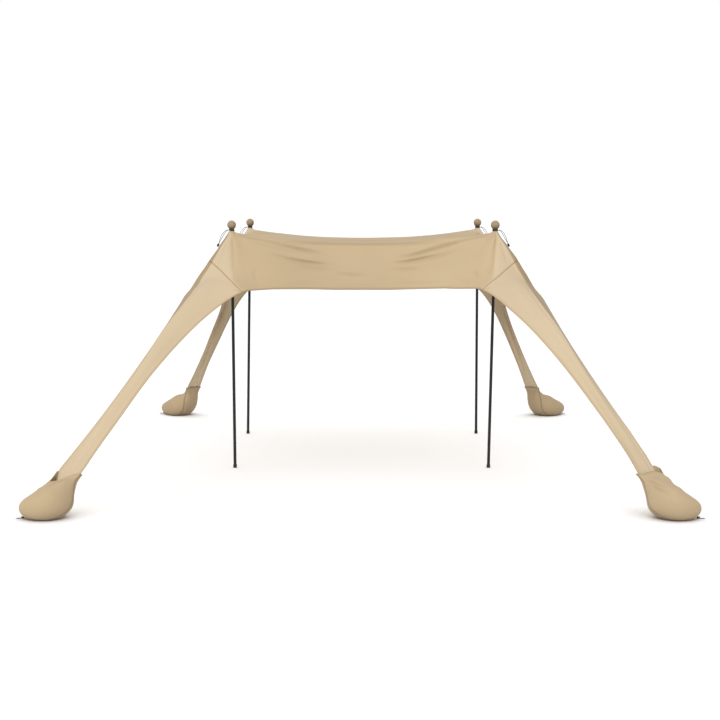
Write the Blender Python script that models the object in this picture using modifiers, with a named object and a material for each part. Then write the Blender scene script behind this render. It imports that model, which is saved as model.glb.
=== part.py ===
import math

import bmesh
import bpy
import numpy as np
from mathutils import Vector
from mathutils.bvhtree import BVHTree

# Driving dimensions in metres. +Z is up, the tent's front faces -Y,
# and the origin lies on the ground under the middle of the tent.
FRONT_Y = -0.60
BACK_Y = 1.178
BALL_Z = 2.025
NECK_Z = 1.972
TOUCH_GAP = 0.0003

POLE_RADIUS = 0.0125
POLE_SIDES = 24
FOOT_RADIUS = 0.0155
FOOT_HEIGHT = 0.026
FOOT_FLOOR = 0.010
FOOT_SOCKET_RADIUS = POLE_RADIUS + 0.0006

BALL_RADIUS = 0.036
NECK_RADIUS = 0.017
NECK_BOTTOM = -0.066
KNOB_SOCKET_RADIUS = POLE_RADIUS + TOUCH_GAP
KNOB_SOCKET_TOP = -0.010
KNOB_SIDES = 20

TIE_CORD = 0.006
TIE_WRAPS = 3
TIE_BOTTOM = NECK_Z - BALL_Z + 0.0021

# The loop of elastic cord that hangs from each tie: places along it, each out from
# the pole, along the side towards the corner, and up from the neck.
LOOP_CORD = 0.004
LOOP_ROUTE = (
    (0.0235, -0.0050, 0.0111), (0.0450, -0.0080, 0.0090), (0.0710, -0.0100, -0.0120),
    (0.0900, -0.0105, -0.0420), (0.1010, -0.0100, -0.0740), (0.1060, -0.0080, -0.0930),
    (0.1085, 0.0, -0.1005), (0.1050, 0.0080, -0.0950), (0.0950, 0.0100, -0.0790),
    (0.0780, 0.0115, -0.0500), (0.0600, 0.0110, -0.0190), (0.0420, 0.0085, 0.0030),
    (0.0235, 0.0050, 0.0111),
)
END_LEAN = (0.40, -0.9165)
END_RADIUS = 0.0085
END_LENGTH = 0.026
END_EDGE = 0.002

# The knotted cord at each pouch's toe: the knot's half sizes, how it is slid up to
# its pouch, then the places of its tail, each out from the knot and towards the corner.
KNOT_HALF = (0.0125, 0.0095, 0.0085)
KNOT_START = 0.060
KNOT_STEP = 0.0002
KNOT_GAP = 0.0006
KNOT_SEGMENTS = 16
KNOT_RINGS = 10
TAIL_CORD = 0.005
TAIL_ROUTE = ((0.0121, 0.0), (0.0210, -0.0020), (0.0300, 0.0010), (0.0380, 0.0045), (0.0460, 0.0040))
CORD_STEP = 2.5
CORD_RESOLUTION = 2

SHEET_THICKNESS = 0.003
SEAM_GAP = 0.0008
COLLAR_RADII = (0.0190, 0.030, 0.046)
COLLAR_DROPS = (0.0, 0.001, 0.010)

# The panel is a square net of cells. A leg's seam takes SEAM_CELLS on each
# side of a corner, and the pole stands POLE_CELL cells in from both hems.
PANEL_CELLS = 32
SEAM_CELLS = 3
POLE_CELL = 5
LEG_ROWS = 14

# The hems are drawn in between the corners, to these places at their middles.
HEM_Z = 1.503
HEM_IN = 0.06
SIDE_HEM_X = 1.17
HEM_POWER = 2.3
# Pull of the net's threads: level cells close to the hems, height across the
# skirts outside the poles, and height along the ridges between the poles.
HEM_CLOSENESS = 2.8
SKIRT_PULL = 0.15
RIDGE_PULL = 4.0
# The eight points about a pole: how far out they lie, their drop below the neck,
# and the further drop for each way in which they lie outside the poles.
CROWN = ((1, 0), (1, 1), (0, 1), (-1, 1), (-1, 0), (-1, -1), (0, -1), (1, -1))
CROWN_REACH = 0.070
CROWN_DROP = 0.018
CROWN_FALL = 0.038
# Cells of a corner, counted in from it, that lie on the straight line from the neck
# to the seam's end on the side hem.
SIDE_LINE = ((3, 4), (2, 4), (1, 3))
# Rings of points beside a seam that are eased into a smooth curve, and the steps taken.
EASE_RINGS = 4
EASE_STEPS = 12

# foot and top are level places of a pole's axis, mouth is where the leg
# enters its pouch, and belly and toe draw the pouch's own line on from there.
CORNERS = {
    "front_left": {
        "side": -1, "end": -1, "foot": (-1.064, FRONT_Y), "top": (-1.073, FRONT_Y),
        "mouth": (-2.092, -2.315, 0.289), "belly": (-2.129, -2.518), "toe": (-2.412, -2.535),
    },
    "front_right": {
        "side": 1, "end": -1, "foot": (1.059, FRONT_Y), "top": (1.096, FRONT_Y),
        "mouth": (2.044, -2.315, 0.289), "belly": (2.130, -2.522), "toe": (2.378, -2.538),
    },
    "back_left": {
        "side": -1, "end": 1, "foot": (-1.097, BACK_Y), "top": (-1.060, BACK_Y),
        "mouth": (-1.749, 2.298, 0.310), "belly": (-1.829, 2.420), "toe": (-2.115, 2.498),
    },
    "back_right": {
        "side": 1, "end": 1, "foot": (1.102, BACK_Y), "top": (1.098, BACK_Y),
        "mouth": (1.770, 2.298, 0.310), "belly": (1.844, 2.362), "toe": (2.138, 2.495),
    },
}

# A leg's arch: where it starts along the line from neck to mouth, half its width
# at the waist and what it gains towards the seam and the mouth, how far its edges
# hang below its ridge and run ahead of it at the seam, with the powers by which
# they level out, and how much narrower and deeper the flap on the side hem is.
LEG_SHAPES = {
    -1: {"start": 0.13, "waist": 0.062, "flare": 0.284, "fade": 0.216, "mouth": 0.041,
         "drop": 0.130, "ease": 1.19, "slant": 0.224, "slant_ease": 3.0,
         "side_in": 0.346, "side_fade": 0.241, "side_drop": 0.311},
    1: {"start": 0.17, "waist": 0.053, "flare": 0.190, "fade": 0.097, "mouth": 0.020,
        "drop": 0.133, "ease": 1.0, "slant": 0.151, "slant_ease": 1.0,
        "side_in": 0.40, "side_fade": 0.097, "side_drop": 0.0},
}
LEG_TUCK = 0.032

# A pouch's half widths and half heights at stations from its mouth to its toe, the
# heights of its line at the belly and the toe, where along it the line has turned
# from the leg's direction to the toe's, how square its section is and how round its end.
POUCH_STATIONS = (0.0, 0.16, 0.36, 0.60, 0.82, 1.0)
POUCH_SHAPES = {
    -1: {"widths": (0.116, 0.101, 0.129, 0.178, 0.174, 0.130),
         "heights": (0.030, 0.066, 0.110, 0.154, 0.139, 0.126), "belly_z": 0.040, "toe_z": 0.086},
    1: {"widths": (0.084, 0.072, 0.113, 0.163, 0.172, 0.131),
        "heights": (0.028, 0.043, 0.084, 0.134, 0.128, 0.117), "belly_z": 0.032, "toe_z": 0.071},
}
POUCH_LEAD = 0.55
POUCH_TURN = 0.80
POUCH_SQUARE = 2.3
POUCH_ROUND = 6
POUCH_SEGMENTS = 28
POUCH_RINGS = 18
POUCH_FIRM_RINGS = 3
POUCH_EASE = 6
MOUTH_OPENING = 0.012
MOUTH_DEPTH = 0.055
MOUTH_REACH = 0.14
MOUTH_CLEARANCE = 0.0006
MOUTH_ROWS = 3


def unit(vector):
    vector = np.asarray(vector, float)
    return vector / np.linalg.norm(vector)


def clear_scene():
    for item in list(bpy.data.objects):
        bpy.data.objects.remove(item, do_unlink=True)


def make_material(name, colour, roughness, metallic=0.0):
    material = bpy.data.materials.new(name)
    material.use_nodes = True
    shader = material.node_tree.nodes["Principled BSDF"]
    shader.inputs["Base Color"].default_value = (*colour, 1.0)
    shader.inputs["Roughness"].default_value = roughness
    shader.inputs["Metallic"].default_value = metallic
    material.diffuse_color = (*colour, 1.0)
    return material


def place(item, collection, material=None):
    for old in list(item.users_collection):
        old.objects.unlink(item)
    collection.objects.link(item)
    if material:
        item.data.materials.clear()
        item.data.materials.append(material)
    return item


def mesh_object(name, points, faces, collection, material=None):
    mesh = bpy.data.meshes.new(name)
    mesh.from_pydata([tuple(p) for p in points], [], faces)
    mesh.update()
    mesh.shade_smooth()
    item = bpy.data.objects.new(name, mesh)
    return place(item, collection, material)


def turned(name, profile, sides, collection, material, location, axis):
    """A solid turned about its own Z from a profile of (radius, height)."""
    points = [(radius, 0.0, height) for radius, height in profile]
    edges = [(i, i + 1) for i in range(len(points) - 1)]
    if profile[0][0] > 0:
        edges.append((len(points) - 1, 0))
    mesh = bpy.data.meshes.new(name)
    mesh.from_pydata(points, edges, [])
    item = bpy.data.objects.new(name, mesh)
    place(item, collection, material)
    screw = item.modifiers.new("turn", "SCREW")
    screw.axis = "Z"
    screw.steps = sides
    screw.render_steps = sides
    screw.use_merge_vertices = True
    screw.merge_threshold = 0.00001
    screw.use_normal_calculate = True
    item.location = location
    item.rotation_euler = Vector((0, 0, 1)).rotation_difference(Vector(axis)).to_euler()
    return item


def pole_axis(corner):
    """The pole's line: its point on the ground, its direction, and a point at a height."""
    foot = Vector((*corner["foot"], 0.0))
    top = Vector((*corner["top"], BALL_Z))
    axis = (top - foot).normalized()

    def at_height(z):
        return foot + axis * (z / axis.z)

    return axis, at_height


def neck_point(corner):
    return np.array(pole_axis(corner)[1](NECK_Z))


def leg_frame(corner):
    """Neck, run from neck to mouth, and unit vectors along, across and up from the leg."""
    neck = neck_point(corner)
    run = np.array(corner["mouth"]) - neck
    along = unit(run)
    across = unit((-run[1], run[0], 0.0))
    if across[0] * corner["side"] > 0:
        across = -across
    up = np.cross(along, across)
    if up[2] < 0:
        up = -up
    return neck, run, along, across, up


def leg_point(corner, t, s):
    """A point of a leg: t is 0 at the neck and 1 at the mouth, and s goes across
    from -1 on the side hem to 1 on the front or back hem."""
    neck, run, along, across, up = leg_frame(corner)
    shape = LEG_SHAPES[corner["end"]]
    left = max(0.0, (1 - t) / (1 - shape["start"]))
    near = math.exp((shape["start"] - t) / shape["fade"])
    half = shape["waist"] + shape["flare"] * near + shape["mouth"] * min(t, 2 - t) ** 8
    drop = shape["drop"] * left ** shape["ease"]
    if s < 0:
        half *= 1 - shape["side_in"] * math.exp((shape["start"] - t) / shape["side_fade"])
        drop *= 1 + shape["side_drop"] * near
    bend = abs(s) ** 1.5
    return (neck + run * t + across * half * s - up * drop * bend
            + along * shape["slant"] * left ** shape["slant_ease"] * bend)


def leg_rows(corner):
    """Places of a leg's rows: even ones down to the pouch, then short ones into its mouth."""
    start = LEG_SHAPES[corner["end"]]["start"]
    length = np.linalg.norm(leg_frame(corner)[1])
    reach, last = 1 - MOUTH_REACH / length, 1 + LEG_TUCK / length
    free_rows = LEG_ROWS - MOUTH_ROWS
    rows = [start + (reach - start) * r / free_rows for r in range(free_rows)]
    return rows + [reach + (last - reach) * r / MOUTH_ROWS for r in range(MOUTH_ROWS + 1)]


def hem_curve(first, last, middle, count):
    """Points from one corner to the next, drawn in so that the middle one is reached."""
    points = []
    for i in range(count + 1):
        v = 2 * i / count - 1
        straight = first + (last - first) * (v + 1) / 2
        points.append(straight + (middle - (first + last) / 2) * (1 - abs(v) ** HEM_POWER))
    return points


def panel_id(i, j):
    return i * (PANEL_CELLS + 1) + j


def corner_index(corner):
    """The panel's corner cell and the steps that lead in from it."""
    n = PANEL_CELLS
    return ((0, 1) if corner["side"] < 0 else (n, -1),
            (0, 1) if corner["end"] < 0 else (n, -1))


def pole_index(corner):
    (ci, di), (cj, dj) = corner_index(corner)
    return ci + di * POLE_CELL, cj + dj * POLE_CELL


def panel_net():
    """The sheet between the four seams, as a net drawn tight from its hems, its
    seams and the four necks. Each coordinate is the balance of its neighbours."""
    n = PANEL_CELLS
    points = np.full(((n + 1) ** 2, 3), np.nan)
    for corner in CORNERS.values():
        (ci, di), (cj, dj) = corner_index(corner)
        start = LEG_SHAPES[corner["end"]]["start"]
        for k in range(-SEAM_CELLS, SEAM_CELLS + 1):
            i, j = (ci, cj - dj * k) if k < 0 else (ci + di * k, cj)
            points[panel_id(i, j)] = leg_point(corner, start, k / SEAM_CELLS)
        neck = neck_point(corner)
        pi, pj = pole_index(corner)
        points[panel_id(pi, pj)] = neck
        for a, b in CROWN:
            outward = (a * di < 0) + (b * dj < 0)
            points[panel_id(pi + a, pj + b)] = neck + (
                a * CROWN_REACH, b * CROWN_REACH, -CROWN_DROP - outward * CROWN_FALL)
    for corner in CORNERS.values():
        (ci, di), (cj, dj) = corner_index(corner)
        neck, end = neck_point(corner), points[panel_id(ci, cj + dj * SEAM_CELLS)]
        for i, j in SIDE_LINE:
            points[panel_id(ci + di * i, cj + dj * j)] = neck + (end - neck) * (1 - i / POLE_CELL)
    inner = range(SEAM_CELLS, n - SEAM_CELLS + 1)
    hems = (([panel_id(i, 0) for i in inner], 1, FRONT_Y - HEM_IN),
            ([panel_id(i, n) for i in inner], 1, BACK_Y + HEM_IN),
            ([panel_id(0, j) for j in inner], 0, -SIDE_HEM_X),
            ([panel_id(n, j) for j in inner], 0, SIDE_HEM_X))
    for ids, axis, place_in in hems:
        first, last = points[ids[0]].copy(), points[ids[-1]].copy()
        middle = (first + last) / 2
        middle[axis] = place_in
        middle[2] = HEM_Z
        points[ids] = hem_curve(first, last, middle, len(ids) - 1)
    held = ~np.isnan(points[:, 0])
    fixed, free = np.where(held)[0], np.where(~held)[0]
    low, high = POLE_CELL, n - POLE_CELL
    for axis in range(3):
        balance = np.zeros((len(points), len(points)))
        for i in range(n + 1):
            for j in range(n + 1):
                for di, dj in ((1, 0), (0, 1)):
                    if i + di > n or j + dj > n:
                        continue
                    along, beside = (i + 0.5, j) if di else (j + 0.5, i)
                    outside = along < low or along > high
                    pull = 1.0
                    if axis == 2:
                        if outside:
                            pull = SKIRT_PULL
                        elif beside in (low, high):
                            pull = RIDGE_PULL
                    elif outside and axis == (0 if di else 1):
                        pull = HEM_CLOSENESS
                    a, b = panel_id(i, j), panel_id(i + di, j + dj)
                    balance[[a, b], [a, b]] += pull
                    balance[[a, b], [b, a]] -= pull
        known = -balance[np.ix_(free, fixed)] @ points[fixed, axis]
        points[free, axis] = np.linalg.solve(balance[np.ix_(free, free)], known)
    return points


def leg_id(corner_number, row, column):
    """Index of a leg's point in the whole sheet. Row 0 is the seam, shared with the panel."""
    if row == 0:
        (ci, di), (cj, dj) = corner_index(list(CORNERS.values())[corner_number])
        k = column - SEAM_CELLS
        return panel_id(ci, cj - dj * k) if k < 0 else panel_id(ci + di * k, cj)
    columns = 2 * SEAM_CELLS + 1
    return (PANEL_CELLS + 1) ** 2 + (corner_number * LEG_ROWS + row - 1) * columns + column


def leg_faces(corner_number, corner):
    flip = corner["side"] * corner["end"] > 0
    faces = []
    for r in range(LEG_ROWS):
        for c in range(2 * SEAM_CELLS):
            face = [leg_id(corner_number, r, c), leg_id(corner_number, r, c + 1),
                    leg_id(corner_number, r + 1, c + 1), leg_id(corner_number, r + 1, c)]
            faces.append(face[::-1] if flip else face)
    return faces


def panel_faces():
    """The panel's cells, without the four that meet at each pole."""
    n = PANEL_CELLS
    taken = set()
    for corner in CORNERS.values():
        i, j = pole_index(corner)
        taken.update((i + a, j + b) for a in (-1, 0) for b in (-1, 0))
    return [[panel_id(i, j), panel_id(i + 1, j), panel_id(i + 1, j + 1), panel_id(i, j + 1)]
            for i in range(n) for j in range(n) if (i, j) not in taken]


def whole_sheet():
    """Points of the panel and the four legs, with the cloth about each seam eased so
    that it runs smoothly from the panel into the leg."""
    points = list(panel_net())
    faces = panel_faces()
    seams = set()
    for number, corner in enumerate(CORNERS.values()):
        for t in leg_rows(corner)[1:]:
            for k in range(-SEAM_CELLS, SEAM_CELLS + 1):
                points.append(leg_point(corner, t, k / SEAM_CELLS))
        faces += leg_faces(number, corner)
        seams.update(leg_id(number, 0, c) for c in range(2 * SEAM_CELLS + 1))
    points = np.array(points)
    beside = [set() for _ in points]
    uses = {}
    for face in faces:
        for a, b in zip(face, face[1:] + face[:1]):
            beside[a].add(b)
            beside[b].add(a)
            key = (min(a, b), max(a, b))
            uses[key] = uses.get(key, 0) + 1
    held = {v for key, count in uses.items() if count == 1 for v in key}
    for corner in CORNERS.values():
        (ci, di), (cj, dj) = corner_index(corner)
        held.update(panel_id(ci + di * i, cj + dj * j) for i, j in SIDE_LINE)
    near, ease = set(seams), {}
    for ring in range(EASE_RINGS):
        for v in near:
            ease.setdefault(v, 1 - ring / EASE_RINGS)
        near = {w for v in near for w in beside[v]} - set(ease)
    movable = [v for v in ease if v not in held]
    for _ in range(EASE_STEPS):
        moved = points.copy()
        for v in movable:
            mean = points[list(beside[v])].mean(axis=0)
            moved[v] += ease[v] * 0.5 * (mean - points[v])
        points = moved
    return points


def solidify(item, thickness):
    modifier = item.modifiers.new("thickness", "SOLIDIFY")
    modifier.thickness = thickness
    modifier.offset = 0.0
    return modifier


def drop_loose(item):
    edit = bmesh.new()
    edit.from_mesh(item.data)
    loose = [v for v in edit.verts if not v.link_faces]
    bmesh.ops.delete(edit, geom=loose, context="VERTS")
    edit.to_mesh(item.data)
    edit.free()


def make_panel(points, collection, material):
    """The panel, with a round collar about each pole in place of the four cells there."""
    vertices = [tuple(p) for p in points]
    faces = panel_faces()
    for corner in CORNERS.values():
        i, j = pole_index(corner)
        ring = [panel_id(i + a, j + b) for a, b in CROWN]
        centre = neck_point(corner)
        for radius, drop in zip(reversed(COLLAR_RADII), reversed(COLLAR_DROPS)):
            inner = []
            for k in range(len(CROWN)):
                angle = 2 * math.pi * k / len(CROWN)
                inner.append(len(vertices))
                vertices.append((centre[0] + radius * math.cos(angle),
                                 centre[1] + radius * math.sin(angle), centre[2] - drop))
            for k in range(len(CROWN)):
                m = (k + 1) % len(CROWN)
                faces.append((ring[k], ring[m], inner[m], inner[k]))
            ring = inner
    item = mesh_object("canopy_panel", vertices, faces, collection, material)
    drop_loose(item)
    solidify(item, SHEET_THICKNESS)
    return item


def make_leg(number, name, corner, points, collection, material):
    """The tapering arm sewn to the panel's cut corner and tucked into its pouch."""
    vertices = [Vector(p) for p in points]
    along = Vector(leg_frame(corner)[2])
    for column in range(2 * SEAM_CELLS + 1):
        vertices[leg_id(number, 0, column)] += along * SEAM_GAP
    item = mesh_object("leg_" + name, vertices, leg_faces(number, corner), collection, material)
    drop_loose(item)
    solidify(item, SHEET_THICKNESS)
    return item


def make_mouth_cutter(name, corner, cutters):
    """The open mouth of a pouch: the leg lies on its floor, and it gapes above the leg."""
    _, _, along, across, up = leg_frame(corner)
    floor = -(SHEET_THICKNESS / 2 + MOUTH_CLEARANCE)
    middle = up * (floor + MOUTH_OPENING) / 2
    columns = 2 * SEAM_CELLS + 1
    rows = leg_rows(corner)[-MOUTH_ROWS - 1:]
    points, faces = [], []
    for r in range(MOUTH_ROWS + 2):
        t = rows[min(r, MOUTH_ROWS)]
        deeper = along * (MOUTH_DEPTH - LEG_TUCK) if r > MOUTH_ROWS else 0.0
        for c in range(columns):
            s = c / SEAM_CELLS - 1
            points.append(leg_point(corner, t, s) + across * MOUTH_CLEARANCE * s + middle + deeper)
            if r <= MOUTH_ROWS and c < columns - 1:
                a = r * columns + c
                face = (a, a + 1, a + columns + 1, a + columns)
                faces.append(face[::-1] if corner["side"] * corner["end"] > 0 else face)
    item = mesh_object("mouth_cutter_" + name, points, faces, cutters)
    solidify(item, MOUTH_OPENING - floor)
    item.hide_render = True
    item.display_type = "WIRE"
    return item


def smooth_value(stations, values, place):
    """Value at a place of the smooth curve through the values at the stations."""
    slopes = np.gradient(values, stations)
    i = int(np.clip(np.searchsorted(stations, place, side="right") - 1, 0, len(stations) - 2))
    width = stations[i + 1] - stations[i]
    f = (place - stations[i]) / width
    return (values[i] * (1 + 2 * f) * (1 - f) ** 2 + slopes[i] * width * f * (1 - f) ** 2
            + values[i + 1] * f * f * (3 - 2 * f) - slopes[i + 1] * width * f * f * (1 - f))


def pouch_point(corner, v, turn):
    """A point of a pouch: v is 0 at the mouth and 1 at the toe, and turn is an angle
    about its line, from 0 on one side over the top."""
    along = leg_frame(corner)[2]
    shape = POUCH_SHAPES[corner["end"]]
    mouth = np.array(corner["mouth"])
    belly = np.array([*corner["belly"], shape["belly_z"]])
    toe = np.array([*corner["toe"], shape["toe_z"]])
    lead = mouth + along * np.linalg.norm(belly - mouth) * POUCH_LEAD
    line = ((1 - v) ** 3 * mouth + 3 * (1 - v) ** 2 * v * lead
            + 3 * (1 - v) * v * v * belly + v ** 3 * toe)
    forward = unit((1 - v) ** 2 * (lead - mouth) + 2 * (1 - v) * v * (belly - lead)
                   + v * v * (toe - belly))
    first = math.atan2(along[1], along[0])
    swing = math.atan2(toe[1] - belly[1], toe[0] - belly[0]) - first
    swing = (swing + math.pi) % (2 * math.pi) - math.pi
    turned_by = min(1.0, v / POUCH_TURN)
    heading = first + swing * turned_by ** 2 * (3 - 2 * turned_by)
    side = np.array([-math.sin(heading), math.cos(heading), 0.0])
    side = unit(side - forward * (side @ forward))
    up = np.cross(forward, side)
    closing = math.sqrt(max(0.0, 1 - v ** POUCH_ROUND))
    width = smooth_value(POUCH_STATIONS, shape["widths"], v) * closing
    height = smooth_value(POUCH_STATIONS, shape["heights"], v) * closing
    c, s = math.cos(turn), math.sin(turn)
    c = math.copysign(abs(c) ** (2 / POUCH_SQUARE), c)
    s = math.copysign(abs(s) ** (2 / POUCH_SQUARE), s)
    return line + side * width * c + up * height * s


def make_pouch(name, corner, collection, cutters, material):
    """A sand pouch: drawn out to the leg's mouth and to its toe, with its mouth cut
    open, and flat where it lies on the ground."""
    edit = bmesh.new()
    rings = []
    for r in range(POUCH_RINGS):
        v = math.sin(math.pi / 2 * r / POUCH_RINGS)
        rings.append([edit.verts.new(pouch_point(corner, v, 2 * math.pi * k / POUCH_SEGMENTS))
                      for k in range(POUCH_SEGMENTS)])
    toe = edit.verts.new(pouch_point(corner, 1.0, 0.0))
    edit.faces.new(rings[0])
    soft = [vertex for ring in rings[POUCH_FIRM_RINGS:] for vertex in ring] + [toe]
    for k in range(POUCH_SEGMENTS):
        m = (k + 1) % POUCH_SEGMENTS
        for low, high in zip(rings, rings[1:]):
            edit.faces.new((low[k], low[m], high[m], high[k]))
        edit.faces.new((rings[-1][k], rings[-1][m], toe))
    for _ in range(POUCH_EASE):
        bmesh.ops.smooth_vert(edit, verts=soft, factor=0.5, use_axis_x=True, use_axis_y=True,
                              use_axis_z=True)
    everything = edit.verts[:] + edit.edges[:] + edit.faces[:]
    cut = bmesh.ops.bisect_plane(edit, geom=everything, plane_co=(0, 0, 0), plane_no=(0, 0, -1),
                                 clear_outer=True)
    rim = [e for e in cut["geom_cut"] if isinstance(e, bmesh.types.BMEdge)]
    bmesh.ops.edgeloop_fill(edit, edges=rim)
    bmesh.ops.recalc_face_normals(edit, faces=edit.faces)
    surface = BVHTree.FromBMesh(edit)
    mesh = bpy.data.meshes.new("pouch_" + name)
    edit.to_mesh(mesh)
    edit.free()
    mesh.shade_smooth()
    mesh.set_sharp_from_angle(angle=math.radians(60))
    item = place(bpy.data.objects.new("pouch_" + name, mesh), collection, material)
    cut = item.modifiers.new("mouth", "BOOLEAN")
    cut.operation = "DIFFERENCE"
    cut.solver = "EXACT"
    cut.object = make_mouth_cutter(name, corner, cutters)
    return surface


def make_pole(name, corner, collection, material):
    axis, at_height = pole_axis(corner)
    low = at_height(FOOT_FLOOR + TOUCH_GAP)
    high = at_height(BALL_Z) + axis * (KNOB_SOCKET_TOP - TOUCH_GAP)
    middle = (low + high) / 2
    bpy.ops.mesh.primitive_cylinder_add(
        vertices=POLE_SIDES, radius=POLE_RADIUS, depth=(high - low).length, location=middle,
        rotation=Vector((0, 0, 1)).rotation_difference(axis).to_euler())
    item = bpy.context.object
    item.name = item.data.name = "pole_" + name
    item.data.shade_smooth()
    item.data.set_sharp_from_angle(angle=math.radians(40))
    return place(item, collection, material)


def make_foot(name, corner, collection, material):
    """A rubber cap with a flat tread and a rounded edge, open at the top for the pole."""
    edge = 0.004
    profile = [(0.0, 0.0)]
    for k in range(4):
        angle = math.radians(30 * k)
        profile.append((FOOT_RADIUS - edge + edge * math.sin(angle), edge - edge * math.cos(angle)))
    profile += [(FOOT_RADIUS, FOOT_HEIGHT), (FOOT_SOCKET_RADIUS, FOOT_HEIGHT),
                (FOOT_SOCKET_RADIUS, FOOT_FLOOR), (0.0, FOOT_FLOOR)]
    _, at_height = pole_axis(corner)
    return turned("pole_foot_" + name, profile[::-1], POLE_SIDES, collection, material,
                  at_height(0.0), (0, 0, 1))


def make_knob(name, corner, collection, material):
    """The ball on the pole's tip in its cloth cover, with the gathered neck below it."""
    waist = math.asin(NECK_RADIUS / BALL_RADIUS)
    profile = []
    steps = 11
    for k in range(steps + 1):
        angle = (math.pi - waist) * k / steps
        profile.append((BALL_RADIUS * math.sin(angle), BALL_RADIUS * math.cos(angle)))
    profile[0] = (0.0, BALL_RADIUS)
    profile += [(NECK_RADIUS, NECK_BOTTOM), (KNOB_SOCKET_RADIUS, NECK_BOTTOM),
                (KNOB_SOCKET_RADIUS, KNOB_SOCKET_TOP), (0.0, KNOB_SOCKET_TOP)]
    axis, at_height = pole_axis(corner)
    return turned("ball_" + name, profile, KNOB_SIDES, collection, material,
                  at_height(BALL_Z), axis)


def make_tie(name, corner, collection, material):
    """Turns of elastic cord drawn tight about the gathered neck, as one grooved ring."""
    inner = NECK_RADIUS + TOUCH_GAP
    radius = TIE_CORD / 2
    profile = []
    for wrap in reversed(range(TIE_WRAPS)):
        z = TIE_BOTTOM + radius + wrap * TIE_CORD
        for degrees in (60, 0, -60):
            angle = math.radians(degrees)
            profile.append((inner + radius + radius * math.cos(angle), z + radius * math.sin(angle)))
    top = TIE_BOTTOM + TIE_WRAPS * TIE_CORD
    profile = [(inner, top)] + profile + [(inner, TIE_BOTTOM)]
    axis, at_height = pole_axis(corner)
    return turned("tie_" + name, profile, POLE_SIDES, collection, material,
                  at_height(BALL_Z), axis)


def smooth_route(route, spacing):
    """Points at an even spacing along the smooth curve through the route's points."""
    route = np.array(route, float)
    stations = np.concatenate([[0.0], np.cumsum(np.linalg.norm(np.diff(route, axis=0), axis=1))])
    count = max(3, round(stations[-1] / spacing))
    return [[smooth_value(stations, route[:, axis], place) for axis in range(3)]
            for place in np.linspace(0.0, stations[-1], count + 1)]


def make_cord(name, points, diameter, collection, material):
    """A cord through points at an even spacing, as a round tube with filled ends."""
    curve = bpy.data.curves.new(name, "CURVE")
    curve.dimensions = "3D"
    curve.bevel_depth = diameter / 2
    curve.bevel_resolution = CORD_RESOLUTION
    curve.use_fill_caps = True
    spline = curve.splines.new("POLY")
    spline.points.add(len(points) - 1)
    for target, point in zip(spline.points, points):
        target.co = (*point, 1.0)
    return place(bpy.data.objects.new(name, curve), collection, material)


def loop_point(corner, out, sideways, up):
    middle = pole_axis(corner)[1](NECK_Z + up)
    return middle + Vector((corner["side"] * out, corner["end"] * sideways, 0.0))


def make_loop(name, corner, collection, material):
    """The tie's hanging loop and the black end that is clamped on its bend."""
    points = smooth_route([loop_point(corner, *p) for p in LOOP_ROUTE], LOOP_CORD * CORD_STEP)
    make_cord("tie_loop_" + name, points, LOOP_CORD, collection, material)
    lean = Vector((corner["side"] * END_LEAN[0], 0.0, END_LEAN[1]))
    bend = max((Vector(p) for p in points), key=lambda p: p.dot(lean))
    profile = [(0.0, 0.0), (END_RADIUS - END_EDGE, 0.0), (END_RADIUS, END_EDGE),
               (END_RADIUS, END_LENGTH - END_EDGE), (END_RADIUS - END_EDGE, END_LENGTH),
               (0.0, END_LENGTH)]
    turned("cord_end_" + name, profile, KNOB_SIDES, collection, material,
           bend + lean * (LOOP_CORD / 2 + TOUCH_GAP), lean)


def make_toe_cord(name, corner, pouch_surface, collection, material):
    """The knot that closes a pouch at its toe, slid against the pouch on the ground,
    and the cord's short tail."""
    bpy.ops.mesh.primitive_uv_sphere_add(segments=KNOT_SEGMENTS, ring_count=KNOT_RINGS, radius=1.0)
    item = bpy.context.object
    item.name = item.data.name = "toe_knot_" + name
    for vertex in item.data.vertices:
        vertex.co = [vertex.co[axis] * KNOT_HALF[axis] for axis in range(3)]
    side = corner["side"]
    knot = Vector((corner["toe"][0] + side * KNOT_START, corner["toe"][1], KNOT_HALF[2]))
    slid = 0.0
    while slid < 2 * KNOT_START and min(
            pouch_surface.find_nearest(knot + vertex.co)[3] for vertex in item.data.vertices) > KNOT_GAP:
        knot.x -= side * KNOT_STEP
        slid += KNOT_STEP
    item.location = knot
    item.data.shade_smooth()
    place(item, collection, material)
    tail = [(knot.x + side * out, knot.y + corner["end"] * aside, TAIL_CORD / 2 + TOUCH_GAP)
            for out, aside in TAIL_ROUTE]
    make_cord("toe_cord_" + name, smooth_route(tail, TAIL_CORD * CORD_STEP), TAIL_CORD,
              collection, material)


def main():
    clear_scene()
    tent = bpy.data.collections.new("beach_tent")
    cutters = bpy.data.collections.new("cutters")
    for collection in (tent, cutters):
        bpy.context.scene.collection.children.link(collection)
    cloth = make_material("tan_knit", (0.60, 0.46, 0.29), 0.85)
    black_tube = make_material("black_tube", (0.013, 0.013, 0.015), 0.38, 0.6)
    black_rubber = make_material("black_rubber", (0.012, 0.012, 0.013), 0.75)
    black_cord = make_material("black_cord", (0.010, 0.010, 0.011), 0.8)
    sheet = whole_sheet()
    make_panel(sheet, tent, cloth)
    for number, (name, corner) in enumerate(CORNERS.items()):
        make_leg(number, name, corner, sheet, tent, cloth)
        pouch_surface = make_pouch(name, corner, tent, cutters, cloth)
        make_pole(name, corner, tent, black_tube)
        make_foot(name, corner, tent, black_rubber)
        make_knob(name, corner, tent, cloth)
        make_tie(name, corner, tent, black_cord)
        make_loop(name, corner, tent, black_cord)
        make_toe_cord(name, corner, pouch_surface, tent, black_cord)


main()
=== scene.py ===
import math

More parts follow.
